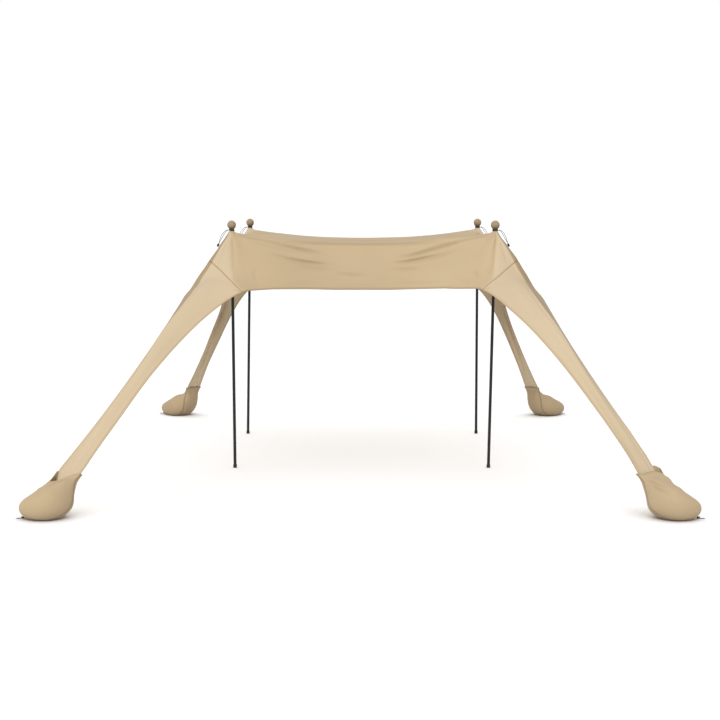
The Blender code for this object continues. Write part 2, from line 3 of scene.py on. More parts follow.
import bpy
import numpy as np
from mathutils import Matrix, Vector


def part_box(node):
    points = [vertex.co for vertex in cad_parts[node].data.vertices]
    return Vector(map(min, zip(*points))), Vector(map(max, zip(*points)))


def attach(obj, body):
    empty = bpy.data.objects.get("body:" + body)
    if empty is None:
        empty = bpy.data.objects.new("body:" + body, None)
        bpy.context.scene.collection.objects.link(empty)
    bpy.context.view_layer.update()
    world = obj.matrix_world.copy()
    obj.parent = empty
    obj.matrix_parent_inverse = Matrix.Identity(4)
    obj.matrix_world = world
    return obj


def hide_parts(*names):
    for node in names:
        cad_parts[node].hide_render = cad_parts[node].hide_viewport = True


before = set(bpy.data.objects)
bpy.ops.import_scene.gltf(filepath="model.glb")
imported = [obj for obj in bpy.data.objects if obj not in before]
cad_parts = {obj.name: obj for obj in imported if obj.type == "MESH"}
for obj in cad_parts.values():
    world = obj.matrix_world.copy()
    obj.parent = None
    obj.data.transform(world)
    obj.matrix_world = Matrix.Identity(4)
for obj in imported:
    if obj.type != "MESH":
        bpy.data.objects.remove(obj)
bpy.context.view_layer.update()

# shared places of the tent, in metres
tent = {
    "frontY": -0.60, "backY": 1.178,
    "ballZ": 2.025, "neckZ": 1.972,
}

# foot and top are places of a pole's axis; mouth, belly and toe draw a leg on into its pouch
corners = {
    "front_left": {"side": -1, "end": -1, "foot": (-1.064, -0.60), "top": (-1.073, -0.60),
                   "mouth": (-2.092, -2.315, 0.289), "belly": (-2.129, -2.518), "toe": (-2.412, -2.535)},
    "front_right": {"side": 1, "end": -1, "foot": (1.059, -0.60), "top": (1.096, -0.60),
                    "mouth": (2.044, -2.315, 0.289), "belly": (2.130, -2.522), "toe": (2.378, -2.538)},
    "back_left": {"side": -1, "end": 1, "foot": (-1.097, 1.178), "top": (-1.060, 1.178),
                  "mouth": (-1.749, 2.298, 0.310), "belly": (-1.829, 2.420), "toe": (-2.115, 2.498)},
    "back_right": {"side": 1, "end": 1, "foot": (1.102, 1.178), "top": (1.098, 1.178),
                   "mouth": (1.770, 2.298, 0.310), "belly": (1.844, 2.362), "toe": (2.138, 2.495)},
}


def unit(vector):
    vector = np.asarray(vector, float)
    return vector / np.linalg.norm(vector)


# the pole's direction, and its point at a height
def poleLine(corner):
    foot = np.array([*corner["foot"], 0.0])
    axis = unit(np.array([*corner["top"], tent["ballZ"]]) - foot)
    return axis, lambda z: foot + axis * (z / axis[2])


def smoothValue(stations, values, place):
    slopes = np.gradient(values, stations)
    i = int(np.clip(np.searchsorted(stations, place, side="right") - 1, 0, len(stations) - 2))
    width = stations[i + 1] - stations[i]
    f = (place - stations[i]) / width
    return (values[i] * (1 + 2 * f) * (1 - f) ** 2 + slopes[i] * width * f * (1 - f) ** 2
            + values[i + 1] * f * f * (3 - 2 * f) - slopes[i + 1] * width * f * f * (1 - f))


# points at an even spacing along the smooth curve through a route's points
def smoothRoute(route, spacing):
    route = np.array(route, float)
    stations = np.concatenate([[0.0], np.cumsum(np.linalg.norm(np.diff(route, axis=0), axis=1))])
    count = max(3, round(stations[-1] / spacing))
    return np.array([[smoothValue(stations, route[:, axis], place) for axis in range(3)]
                     for place in np.linspace(0.0, stations[-1], count + 1)])


def routeLength(points):
    return float(np.linalg.norm(np.diff(points, axis=0), axis=1).sum())


# camera
view = {"place": (-0.0171, -12.1704, 2.172), "down": 6.24, "lens": 70.0, "sensor": 36.0}

camera = bpy.data.objects.new("camera", bpy.data.cameras.new("camera"))
camera.data.lens = view["lens"]
camera.data.sensor_width = view["sensor"]
camera.data.clip_end = 200.0
camera.location = view["place"]
camera.rotation_euler = (math.radians(90 - view["down"]), 0.0, 0.0)
bpy.context.scene.collection.objects.link(camera)
bpy.context.scene.camera = camera
print("camera: done")

# materials
cloth = {
    "colour": (0.430, 0.324, 0.197),
    "shadeColour": (0.365, 0.264, 0.152),  # painted shade, mixed in for folds, hems, seams, linings and sides turned from the light
    "stretchedAndLitColour": (0.492, 0.392, 0.262),  # painted light where the cloth faces the light, and paler where the knit is pulled thin
    "seamGrooveShade": (0.150, 0.105, 0.058),
    "threadShade": 0.62, "stitchPitch": 0.0032, "stitchGroove": 1.5,
    "seamStitches": 0.0055, "seamGroove": 8.0,
    "knitPitch": 0.0016, "knitDepth": 0.00016, "bump": 0.6,
    "sheen": 0.15, "sheenRoughness": 0.45, "sheenTint": (1.0, 0.93, 0.82, 1.0), "specular": 0.25,
}
blacks = {
    "tube": {"colour": (0.008, 0.008, 0.009), "roughness": 0.42, "metallic": 0.30},
    "rubber": {"colour": (0.013, 0.013, 0.014), "roughness": 0.70, "metallic": 0.0},
    "cord": {"colour": (0.011, 0.011, 0.013), "roughness": 0.62, "metallic": 0.0},
}


# a shader node group with its sockets, each given as name, kind and value
def newGroup(name, inputs, outputs):
    group = bpy.data.node_groups.new(name, "ShaderNodeTree")
    for socket, kind, value in inputs:
        made = group.interface.new_socket(name=socket, in_out="INPUT", socket_type="NodeSocket" + kind)
        if value is not None:
            made.default_value = value
    for socket, kind in outputs:
        group.interface.new_socket(name=socket, in_out="OUTPUT", socket_type="NodeSocket" + kind)
    return group, group.nodes.new("NodeGroupInput"), group.nodes.new("NodeGroupOutput")


# a Math node, with sockets or numbers going in
def mathNode(tree, operation, *values, clamp=False):
    node = tree.nodes.new("ShaderNodeMath")
    node.operation = operation
    node.use_clamp = clamp
    for socket, value in zip(node.inputs, values):
        if isinstance(value, bpy.types.NodeSocket):
            tree.links.new(value, socket)
        else:
            socket.default_value = value
    return node.outputs[0]


def noiseNode(tree, vector, scale, detail=3.0, roughness=0.5):
    node = tree.nodes.new("ShaderNodeTexNoise")
    node.inputs["Scale"].default_value = scale
    node.inputs["Detail"].default_value = detail
    node.inputs["Roughness"].default_value = roughness
    tree.links.new(vector, node.inputs["Vector"])
    return node.outputs["Fac"]


def rangeNode(tree, value, fromLow, fromHigh, toLow, toHigh):
    node = tree.nodes.new("ShaderNodeMapRange")
    node.interpolation_type = "SMOOTHSTEP"
    tree.links.new(value, node.inputs["Value"])
    ends = {"From Min": fromLow, "From Max": fromHigh, "To Min": toLow, "To Max": toHigh}
    for socket, number in ends.items():
        node.inputs[socket].default_value = number
    return node.outputs["Result"]


def mixNode(tree, share, first, second):
    node = tree.nodes.new("ShaderNodeMix")
    node.data_type = "RGBA"
    for socket, value in (("Factor", share), ("A", first), ("B", second)):
        target = next(s for s in node.inputs if s.name == socket and s.enabled)
        if isinstance(value, bpy.types.NodeSocket):
            tree.links.new(value, target)
        else:
            target.default_value = value
    return next(s for s in node.outputs if s.enabled)


# rows of small loops: two waves across each other, the rows bent at every wale
def makeKnitGroup():
    group, inward, outward = newGroup("knitLoops", [("Vector", "Vector", None), ("Pitch", "Float", 0.0016)],
                                      [("Height", "Float"), ("Mask", "Float")])
    split = group.nodes.new("ShaderNodeSeparateXYZ")
    group.links.new(inward.outputs["Vector"], split.inputs[0])
    turn = mathNode(group, "DIVIDE", 2 * math.pi, inward.outputs["Pitch"])
    across = mathNode(group, "MULTIPLY", split.outputs["X"], turn)
    along = mathNode(group, "MULTIPLY", split.outputs["Y"], turn)
    bend = mathNode(group, "ABSOLUTE", mathNode(group, "SINE", mathNode(group, "MULTIPLY", across, 0.5)))
    rows = mathNode(group, "SINE", mathNode(group, "MULTIPLY_ADD", bend, 1.6, along))
    wales = mathNode(group, "COSINE", across)
    height = mathNode(group, "MULTIPLY_ADD", mathNode(group, "ADD", rows, wales), 0.25, 0.5)
    group.links.new(height, outward.inputs["Height"])
    group.links.new(rangeNode(group, height, 0.1, 0.9, 0.0, 1.0), outward.inputs["Mask"])
    return group


# soft changes of tone: broad patches, a fine heather, and the piece's painted shading, which is 1 for plain
# cloth, less for painted shade in folds, hems, seams and sides turned from the light, and more for painted
# light and where the knit is pulled thin
def makeToneGroup():
    group, inward, outward = newGroup(
        "clothTone",
        [("Colour", "Color", None), ("Deep Colour", "Color", None), ("Pale Colour", "Color", None),
         ("Shade", "Float", 1.0), ("Place", "Vector", None), ("Knit", "Float", 0.5)],
        [("Colour", "Color"), ("Roughness", "Float")])
    place, shade = inward.outputs["Place"], inward.outputs["Shade"]
    broad = noiseNode(group, place, 1.7, 2.0)
    heather = noiseNode(group, place, 240.0, 4.0, 0.7)
    level = rangeNode(group, broad, 0.25, 0.75, 0.975, 1.025)
    shares = (rangeNode(group, heather, 0.25, 0.75, 0.965, 1.035),
              rangeNode(group, inward.outputs["Knit"], 0.0, 1.0, 0.95, 1.03),
              mathNode(group, "MINIMUM", shade, 1.0))
    for share in shares:
        level = mathNode(group, "MULTIPLY", level, share)
    # below 1 the painted shade darkens the colour and mixes in the deeper colour; above 1 painted light and
    # pulled knit mix in the paler colour
    shadeShare = mathNode(group, "MULTIPLY", mathNode(group, "SUBTRACT", 1.0, shade), 2.5, clamp=True)
    pale = mathNode(group, "MULTIPLY", mathNode(group, "SUBTRACT", shade, 1.0), 4.0, clamp=True)
    tint = mixNode(group, shadeShare, inward.outputs["Colour"], inward.outputs["Deep Colour"])
    tint = mixNode(group, pale, tint, inward.outputs["Pale Colour"])
    scale = group.nodes.new("ShaderNodeVectorMath")
    scale.operation = "SCALE"
    group.links.new(tint, scale.inputs[0])
    group.links.new(level, scale.inputs["Scale"])
    group.links.new(scale.outputs["Vector"], outward.inputs["Colour"])
    group.links.new(rangeNode(group, broad, 0.3, 0.7, 0.76, 0.86), outward.inputs["Roughness"])
    return group


# a row of stitches at a distance from a hem: X runs along the hem and Y is the distance from it
def makeStitchGroup():
    group, inward, outward = newGroup(
        "stitchRow", [("Edge", "Vector", None), ("Distance", "Float", 0.016), ("Pitch", "Float", 0.0032)],
        [("Mask", "Float"), ("Groove", "Float")])
    split = group.nodes.new("ShaderNodeSeparateXYZ")
    group.links.new(inward.outputs["Edge"], split.inputs[0])
    past = mathNode(group, "SUBTRACT", split.outputs["Y"], inward.outputs["Distance"])
    away = mathNode(group, "ABSOLUTE", past)
    thread = rangeNode(group, away, 0.0003, 0.0006, 1.0, 0.0)
    cycle = mathNode(group, "FRACT", mathNode(group, "DIVIDE", split.outputs["X"], inward.outputs["Pitch"]))
    dash = mathNode(group, "ABSOLUTE", mathNode(group, "SUBTRACT", cycle, 0.5))
    dash = rangeNode(group, dash, 0.30, 0.38, 1.0, 0.0)
    group.links.new(mathNode(group, "MULTIPLY", thread, dash), outward.inputs["Mask"])
    group.links.new(rangeNode(group, away, 0.0, 0.003, 1.0, 0.0), outward.inputs["Groove"])
    return group


# the braid of a cord: two waves wound round it in opposite ways
def makeBraidGroup():
    group, inward, outward = newGroup("cordBraid", [("Vector", "Vector", None), ("Pitch", "Float", 0.003)],
                                      [("Height", "Float")])
    split = group.nodes.new("ShaderNodeSeparateXYZ")
    group.links.new(inward.outputs["Vector"], split.inputs[0])
    turn = mathNode(group, "DIVIDE", 2 * math.pi, inward.outputs["Pitch"])
    waves = []
    for sign in (1.0, -1.0):
        lean = mathNode(group, "MULTIPLY_ADD", split.outputs["Y"], sign, split.outputs["X"])
        lean = mathNode(group, "MULTIPLY_ADD", split.outputs["Z"], sign * 1.3, lean)
        waves.append(mathNode(group, "SINE", mathNode(group, "MULTIPLY", lean, turn)))
    group.links.new(mathNode(group, "MAXIMUM", *waves), outward.inputs["Height"])
    return group


knitGroup, toneGroup = makeKnitGroup(), makeToneGroup()
stitchGroup, braidGroup = makeStitchGroup(), makeBraidGroup()


def placeGroup(tree, group, **values):
    node = tree.nodes.new("ShaderNodeGroup")
    node.node_tree = group
    for socket, value in values.items():
        target = node.inputs[socket.replace("_", " ")]
        if isinstance(value, bpy.types.NodeSocket):
            tree.links.new(value, target)
        else:
            target.default_value = value
    return node


def uvNode(tree, name):
    node = tree.nodes.new("ShaderNodeUVMap")
    node.uv_map = name
    return node.outputs["UV"]


def newMaterial(name):
    material = bpy.data.materials.new(name)
    material.use_nodes = True
    return material, material.node_tree, material.node_tree.nodes["Principled BSDF"]


# the tan stretch knit; stitches are the distances of its stitch rows from the hem, and seamed cloth
# also has a seam along the middle of its seam map, with a row of stitches each side
def knitMaterial(name, tint=1.0, stitches=(), seamed=False):
    material, tree, shader = newMaterial(name)
    knit = placeGroup(tree, knitGroup, Vector=uvNode(tree, "cloth"), Pitch=cloth["knitPitch"])
    # the shade attribute holds each piece's painted shade and painted light
    shade = tree.nodes.new("ShaderNodeAttribute")
    shade.attribute_name = "shade"
    place = tree.nodes.new("ShaderNodeTexCoord").outputs["Object"]
    colours = [(*(c * tint for c in cloth[key]), 1.0) for key in ("colour", "shadeColour", "stretchedAndLitColour")]
    tone = placeGroup(tree, toneGroup, Colour=colours[0], Deep_Colour=colours[1], Pale_Colour=colours[2],
                      Shade=shade.outputs["Fac"], Place=place, Knit=knit.outputs["Mask"])
    colour, height = tone.outputs["Colour"], knit.outputs["Height"]
    rows = [("edge", distance) for distance in stitches]
    if seamed:
        rows += [("seam", -cloth["seamStitches"]), ("seam", cloth["seamStitches"])]
    for layer, distance in rows:
        row = placeGroup(tree, stitchGroup, Edge=uvNode(tree, layer), Distance=distance,
                         Pitch=cloth["stitchPitch"])
        thread = (*(c * cloth["threadShade"] for c in cloth["colour"]), 1.0)
        colour = mixNode(tree, row.outputs["Mask"], colour, thread)
        groove = mathNode(tree, "MULTIPLY", row.outputs["Groove"], cloth["stitchGroove"])
        height = mathNode(tree, "SUBTRACT", height, groove)
    if seamed:
        # the seam's groove is painted dark brown as painted shade
        join = placeGroup(tree, stitchGroup, Edge=uvNode(tree, "seam"), Distance=0.0,
                          Pitch=cloth["stitchPitch"])
        colour = mixNode(tree, join.outputs["Groove"], colour, (*cloth["seamGrooveShade"], 1.0))
        groove = mathNode(tree, "MULTIPLY", join.outputs["Groove"], cloth["seamGroove"])
        height = mathNode(tree, "SUBTRACT", height, groove)
    bump = tree.nodes.new("ShaderNodeBump")
    bump.inputs["Strength"].default_value = cloth["bump"]
    bump.inputs["Distance"].default_value = cloth["knitDepth"]
    tree.links.new(height, bump.inputs["Height"])
    tree.links.new(bump.outputs["Normal"], shader.inputs["Normal"])
    tree.links.new(colour, shader.inputs["Base Color"])
    tree.links.new(tone.outputs["Roughness"], shader.inputs["Roughness"])
    shader.inputs["Sheen Weight"].default_value = cloth["sheen"]
    shader.inputs["Sheen Roughness"].default_value = cloth["sheenRoughness"]
    shader.inputs["Sheen Tint"].default_value = cloth["sheenTint"]
    shader.inputs["Specular IOR Level"].default_value = cloth["specular"]
    material.diffuse_color = colours[0]
    return material


# tube, rubber or cord: soft wear in the roughness, a fine grain, and a braid on the cord
def blackMaterial(name, finish, scale, depth, braid=0.0):
    material, tree, shader = newMaterial(name)
    place = tree.nodes.new("ShaderNodeTexCoord").outputs["Object"]
    broad, grain = noiseNode(tree, place, scale / 30, 3.0), noiseNode(tree, place, scale, 4.0, 0.65)
    worn = (*(c * 1.8 + 0.002 for c in finish["colour"]), 1.0)
    colour = mixNode(tree, rangeNode(tree, broad, 0.4, 0.8, 0.0, 1.0), (*finish["colour"], 1.0), worn)
    tree.links.new(colour, shader.inputs["Base Color"])
    rough = rangeNode(tree, grain, 0.3, 0.7, finish["roughness"] - 0.06, finish["roughness"] + 0.08)
    tree.links.new(rough, shader.inputs["Roughness"])
    shader.inputs["Metallic"].default_value = finish["metallic"]
    height = grain
    if braid:
        twist = placeGroup(tree, braidGroup, Vector=place, Pitch=braid)
        height = mathNode(tree, "MULTIPLY_ADD", twist.outputs["Height"], 0.8, grain)
    bump = tree.nodes.new("ShaderNodeBump")
    bump.inputs["Strength"].default_value = 0.5
    bump.inputs["Distance"].default_value = depth
    tree.links.new(height, bump.inputs["Height"])
    tree.links.new(bump.outputs["Normal"], shader.inputs["Normal"])
    material.diffuse_color = (*finish["colour"], 1.0)
    return material


panelMaterial = knitMaterial("tanKnitPanel", 1.0, stitches=(0.004, 0.015), seamed=True)
legMaterial = knitMaterial("tanKnitLeg", 1.0, stitches=(0.004, 0.015))
pouchMaterial = knitMaterial("tanKnitPouch", 0.98, stitches=(0.011,))
# the ball covers are tinted darker throughout as painted shade
coverMaterial = knitMaterial("tanKnitCover", 0.70)
tubeMaterial = blackMaterial("blackTube", blacks["tube"], 900.0, 0.00003)
rubberMaterial = blackMaterial("blackRubber", blacks["rubber"], 500.0, 0.0001)
cordMaterial = blackMaterial("blackCord", blacks["cord"], 1600.0, 0.0003, braid=0.0024)
print("materials: done")


# cords
cords = {
    "loop": {"diameter": 0.004, "step": 0.006, "route": (
        (0.0235, -0.0050, 0.0111), (0.0450, -0.0080, 0.0090), (0.0710, -0.0100, -0.0120),
        (0.0900, -0.0105, -0.0420), (0.1010, -0.0100, -0.0740), (0.1060, -0.0080, -0.0930),
        (0.1085, 0.0, -0.1005), (0.1050, 0.0080, -0.0950), (0.0950, 0.0100, -0.0790),
        (0.0780, 0.0115, -0.0500), (0.0600, 0.0110, -0.0190), (0.0420, 0.0085, 0.0030),
        (0.0235, 0.0050, 0.0111))},
    "tail": {"diameter": 0.005, "step": 0.004, "route": (
        (0.0121, 0.0), (0.0210, -0.0020), (0.0300, 0.0010), (0.0380, 0.0045), (0.0460, 0.0040))},
}


def makeCord(name, points, diameter):
    curve = bpy.data.curves.new(name, "CURVE")
    curve.dimensions = "3D"
    curve.bevel_depth = diameter / 2
    curve.bevel_resolution = 4
    curve.use_fill_caps = True
    spline = curve.splines.new("POLY")
    spline.points.add(len(points) - 1)
    for target, point in zip(spline.points, points):
        target.co = (*point, 1.0)
    spline.use_smooth = True
    item = bpy.data.objects.new(name, curve)
    bpy.context.scene.collection.objects.link(item)
    curve.materials.append(cordMaterial)
    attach(item, "root")
    return item


def boxMiddle(node):
    low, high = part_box(node)
    return (np.array(low) + np.array(high)) / 2


for name, corner in corners.items():
    atHeight = poleLine(corner)[1]
    route = [atHeight(tent["neckZ"] + up) + np.array([corner["side"] * out, corner["end"] * aside, 0.0])
             for out, aside, up in cords["loop"]["route"]]
    points = smoothRoute(route, cords["loop"]["step"])
    loop = makeCord("tieLoop_" + name, points, cords["loop"]["diameter"])
    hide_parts("tie_loop_" + name)
    knot = boxMiddle("toe_knot_" + name)
    height = cords["tail"]["diameter"] / 2 + 0.0003
    route = [(knot[0] + corner["side"] * out, knot[1] + corner["end"] * aside, height)
             for out, aside in cords["tail"]["route"]]
    points = smoothRoute(route, cords["tail"]["step"])
    tail = makeCord("toeCord_" + name, points, cords["tail"]["diameter"])
    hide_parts("toe_cord_" + name)
print("cords: done")


# the sheet: panel and legs
sheet = {
    "cells": 32, "seamCells": 3, "poleCell": 5, "legRows": 14, "mouthRows": 3, "fine": 8,
    "hemZ": 1.503, "hemIn": 0.06, "sideHemX": 1.17, "hemPower": 2.3, "hemCloseness": 2.8,
    "skirtPull": 0.15, "ridgePull": 4.0,
    "crownReach": 0.070, "crownDrop": 0.018, "crownFall": 0.038,
    "sideLine": ((3, 4), (2, 4), (1, 3)),
    "easeRings": 4, "easeSteps": 12,
    "legTuck": 0.032, "mouthReach": 0.14,
}
crown = ((1, 0), (1, 1), (0, 1), (-1, 1), (-1, 0), (-1, -1), (0, -1), (1, -1))
legShapes = {
    -1: {"start": 0.13, "waist": 0.062, "flare": 0.284, "fade": 0.216, "mouth": 0.041,
         "drop": 0.130, "ease": 1.19, "slant": 0.224, "slantEase": 3.0,
         "sideIn": 0.346, "sideFade": 0.241, "sideDrop": 0.311},
    1: {"start": 0.17, "waist": 0.053, "flare": 0.190, "fade": 0.097, "mouth": 0.020,
        "drop": 0.133, "ease": 1.0, "slant": 0.151, "slantEase": 1.0,
        "sideIn": 0.40, "sideFade": 0.097, "sideDrop": 0.0},
}


# neck, run from neck to mouth, and the ways along, across and up from the leg
def legFrame(corner):
    neck = poleLine(corner)[1](tent["neckZ"])
    run = np.array(corner["mouth"]) - neck
    along = unit(run)
    across = unit((-run[1], run[0], 0.0))
    if across[0] * corner["side"] > 0:
        across = -across
    up = np.cross(along, across)
    return neck, run, along, across, up if up[2] > 0 else -up


# t is 0 at the neck and 1 at the mouth, s goes from -1 on the side hem to 1 on the other
def legPoint(corner, t, s):
    neck, run, along, across, up = legFrame(corner)
    shape = legShapes[corner["end"]]
    left = max(0.0, (1 - t) / (1 - shape["start"]))
    near = math.exp((shape["start"] - t) / shape["fade"])
    half = shape["waist"] + shape["flare"] * near + shape["mouth"] * min(t, 2 - t) ** 8
    drop = shape["drop"] * left ** shape["ease"]
    if s < 0:
        half *= 1 - shape["sideIn"] * math.exp((shape["start"] - t) / shape["sideFade"])
        drop *= 1 + shape["sideDrop"] * near
    bend = abs(s) ** 1.5
    return (neck + run * t + across * half * s - up * drop * bend
            + along * shape["slant"] * left ** shape["slantEase"] * bend)


def legPlaces(corner):
    start = legShapes[corner["end"]]["start"]
    length = np.linalg.norm(legFrame(corner)[1])
    reach, last = 1 - sheet["mouthReach"] / length, 1 + sheet["legTuck"] / length
    free = sheet["legRows"] - sheet["mouthRows"]
    places = [start + (reach - start) * r / free for r in range(free)]
    return places + [reach + (last - reach) * r / sheet["mouthRows"] for r in range(sheet["mouthRows"] + 1)]


def panelId(i, j):
    return i * (sheet["cells"] + 1) + j


def cornerSteps(corner):
    n = sheet["cells"]
    return ((0, 1) if corner["side"] < 0 else (n, -1), (0, 1) if corner["end"] < 0 else (n, -1))


def poleCell(corner):
    (ci, di), (cj, dj) = cornerSteps(corner)
    return ci + di * sheet["poleCell"], cj + dj * sheet["poleCell"]


# the net between the seams, drawn tight from its hems, seams and necks
def panelNet():
    n, seam, low = sheet["cells"], sheet["seamCells"], sheet["poleCell"]
    high = n - low
    points = np.full(((n + 1) ** 2, 3), np.nan)
    for corner in corners.values():
        (ci, di), (cj, dj) = cornerSteps(corner)
        for k in range(-seam, seam + 1):
            i, j = (ci, cj - dj * k) if k < 0 else (ci + di * k, cj)
            points[panelId(i, j)] = legPoint(corner, legShapes[corner["end"]]["start"], k / seam)
        neck = legFrame(corner)[0]
        pi, pj = poleCell(corner)
        points[panelId(pi, pj)] = neck
        for a, b in crown:
            outward = (a * di < 0) + (b * dj < 0)
            points[panelId(pi + a, pj + b)] = neck + (
                a * sheet["crownReach"], b * sheet["crownReach"],
                -sheet["crownDrop"] - outward * sheet["crownFall"])
        end = points[panelId(ci, cj + dj * seam)]
        for i, j in sheet["sideLine"]:
            points[panelId(ci + di * i, cj + dj * j)] = neck + (end - neck) * (1 - i / low)
    inner = range(seam, n - seam + 1)
    hems = (([panelId(i, 0) for i in inner], 1, tent["frontY"] - sheet["hemIn"]),
            ([panelId(i, n) for i in inner], 1, tent["backY"] + sheet["hemIn"]),
            ([panelId(0, j) for j in inner], 0, -sheet["sideHemX"]),
            ([panelId(n, j) for j in inner], 0, sheet["sideHemX"]))
    for ids, axis, placeIn in hems:
        first, last = points[ids[0]].copy(), points[ids[-1]].copy()
        middle = (first + last) / 2
        middle[axis], middle[2] = placeIn, sheet["hemZ"]
        for k, v in zip(ids, np.linspace(-1, 1, len(ids))):
            points[k] = (first + (last - first) * (v + 1) / 2
                         + (middle - (first + last) / 2) * (1 - abs(v) ** sheet["hemPower"]))
    held = ~np.isnan(points[:, 0])
    fixed, free = np.where(held)[0], np.where(~held)[0]
    for axis in range(3):
        balance = np.zeros((len(points), len(points)))
        for i in range(n + 1):
            for j in range(n + 1):
                for di, dj in ((1, 0), (0, 1)):
                    if i + di > n or j + dj > n:
                        continue
                    along, beside = (i + 0.5, j) if di else (j + 0.5, i)
                    outside = along < low or along > high
                    pull = 1.0
                    if axis == 2 and outside:
                        pull = sheet["skirtPull"]
                    elif axis == 2 and beside in (low, high):
                        pull = sheet["ridgePull"]
                    elif outside and axis == (0 if di else 1):
                        pull = sheet["hemCloseness"]
                    a, b = panelId(i, j), panelId(i + di, j + dj)
                    balance[[a, b], [a, b]] += pull
                    balance[[a, b], [b, a]] -= pull
        known = -balance[np.ix_(free, fixed)] @ points[fixed, axis]
        points[free, axis] = np.linalg.solve(balance[np.ix_(free, free)], known)
    return points


def legId(number, row, column):
    if row == 0:
        (ci, di), (cj, dj) = cornerSteps(list(corners.values())[number])
        k = column - sheet["seamCells"]
        return panelId(ci, cj - dj * k) if k < 0 else panelId(ci + di * k, cj)
    columns = 2 * sheet["seamCells"] + 1
    return (sheet["cells"] + 1) ** 2 + (number * sheet["legRows"] + row - 1) * columns + column


# cage of the panel and the four legs: points, faces, and each face's piece and net places
def wholeSheet():
    n, seam = sheet["cells"], sheet["seamCells"]
    points = list(panelNet())
    faces, owners, nets = [], [], []
    for i in range(n):
        for j in range(n):
            square = [(i, j), (i + 1, j), (i + 1, j + 1), (i, j + 1)]
            faces.append([panelId(*p) for p in square])
            owners.append(0)
            nets.append(square)
    for number, corner in enumerate(corners.values()):
        for t in legPlaces(corner)[1:]:
            points += [legPoint(corner, t, k / seam) for k in range(-seam, seam + 1)]
        for r in range(sheet["legRows"]):
            for c in range(2 * seam):
                square = [(r, c), (r, c + 1), (r + 1, c + 1), (r + 1, c)]
                if corner["side"] * corner["end"] > 0:
                    square = square[::-1]
                faces.append([legId(number, *p) for p in square])
                owners.append(number + 1)
                nets.append(square)
    points = np.array(points)
    beside = [set() for _ in points]
    uses = {}
    for face in faces:
        for a, b in zip(face, face[1:] + face[:1]):
            beside[a].add(b)
            beside[b].add(a)
            key = (min(a, b), max(a, b))
            uses[key] = uses.get(key, 0) + 1
    held = {v for key, count in uses.items() if count == 1 for v in key}
    for corner in corners.values():
        (ci, di), (cj, dj) = cornerSteps(corner)
        held.update(panelId(ci + di * i, cj + dj * j) for i, j in sheet["sideLine"])
    near = {legId(number, 0, c) for number in range(len(corners)) for c in range(2 * seam + 1)}
    ease = {}
    for ring in range(sheet["easeRings"]):
        for v in near:
            ease.setdefault(v, 1 - ring / sheet["easeRings"])
        near = {w for v in near for w in beside[v]} - set(ease)
    for _ in range(sheet["easeSteps"]):
        moved = points.copy()
        for v in ease:
            if v not in held:
                moved[v] += ease[v] * 0.5 * (points[list(beside[v])].mean(axis=0) - points[v])
        points = moved
    return points, faces, owners, nets


# the cage refined into smooth surfaces: a grid of places and normals for the panel and each leg
def fineGrids():
    points, faces, owners, nets = wholeSheet()
    mesh = bpy.data.meshes.new("cage")
    mesh.from_pydata([tuple(p) for p in points], [], faces)
    mesh.attributes.new("owner", "INT", "FACE").data.foreach_set("value", owners)
    flat = [value for square in nets for place in square for value in place]
    mesh.uv_layers.new(name="net").data.foreach_set("uv", flat)
    cage = bpy.data.objects.new("cage", mesh)
    bpy.context.scene.collection.objects.link(cage)
    smooth = cage.modifiers.new("smooth", "SUBSURF")
    smooth.levels = int(math.log2(sheet["fine"]))
    smooth.uv_smooth = "NONE"
    done = cage.evaluated_get(bpy.context.evaluated_depsgraph_get()).to_mesh()
    places = np.empty(len(done.vertices) * 3)
    normals = np.empty(len(done.vertices) * 3)
    done.vertices.foreach_get("co", places)
    done.vertices.foreach_get("normal", normals)
    places, normals = places.reshape(-1, 3), normals.reshape(-1, 3)
    loops = np.empty(len(done.loops), int)
    done.loops.foreach_get("vertex_index", loops)
    uv = np.empty(len(done.loops) * 2)
    done.uv_layers["net"].data.foreach_get("uv", uv)
    uv = np.rint(uv.reshape(-1, 2) * sheet["fine"]).astype(int)
    owner = np.empty(len(done.polygons), int)
    done.attributes["owner"].data.foreach_get("value", owner)
    owner = np.repeat(owner, 4)
    grids = []
    for piece in range(len(corners) + 1):
        mine = owner == piece
        size = uv[mine].max(axis=0) + 1
        grid = np.full((*size, 6), np.nan)
        grid[uv[mine][:, 0], uv[mine][:, 1], :3] = places[loops[mine]]
        grid[uv[mine][:, 0], uv[mine][:, 1], 3:] = normals[loops[mine]]
        grids.append(grid)
    bpy.data.objects.remove(cage, do_unlink=True)
    return grids


# a grid's values at net places a and b, which are arrays of the same shape
def sampled(grid, a, b):
    x = np.clip(a * sheet["fine"], 0, grid.shape[0] - 1.000001)
    y = np.clip(b * sheet["fine"], 0, grid.shape[1] - 1.000001)
    i, j = x.astype(int), y.astype(int)
    f, g = (x - i)[..., None], (y - j)[..., None]
    return ((1 - f) * (1 - g) * grid[i, j] + f * (1 - g) * grid[i + 1, j]
            + (1 - f) * g * grid[i, j + 1] + f * g * grid[i + 1, j + 1])


# distance run along a grid's lines one way, at every place of the grid
def arcs(grid, axis):
    steps = np.linalg.norm(np.diff(grid[..., :3], axis=axis), axis=2)
    pad = ((1, 0), (0, 0)) if axis == 0 else ((0, 0), (1, 0))
    return np.pad(np.cumsum(steps, axis=axis), pad)


def smoothStep(value, low, high):
    f = np.clip((value - low) / (high - low), 0.0, 1.0)
    return f * f * (3 - 2 * f)


def bell(value, width):
    return np.exp(-(value / width) ** 2)


# gentle swells of about the given size, the same on each run
def softSwells(points, size, seed):
    source = np.random.default_rng(seed)
    total = np.zeros(len(points))
    for _ in range(7):
        way = source.normal(size=3)
        way *= source.uniform(0.6, 1.5) * 2 * math.pi / size / np.linalg.norm(way)
        total += np.sin(points @ way + source.uniform(0, 2 * math.pi))
    return total / 2.6


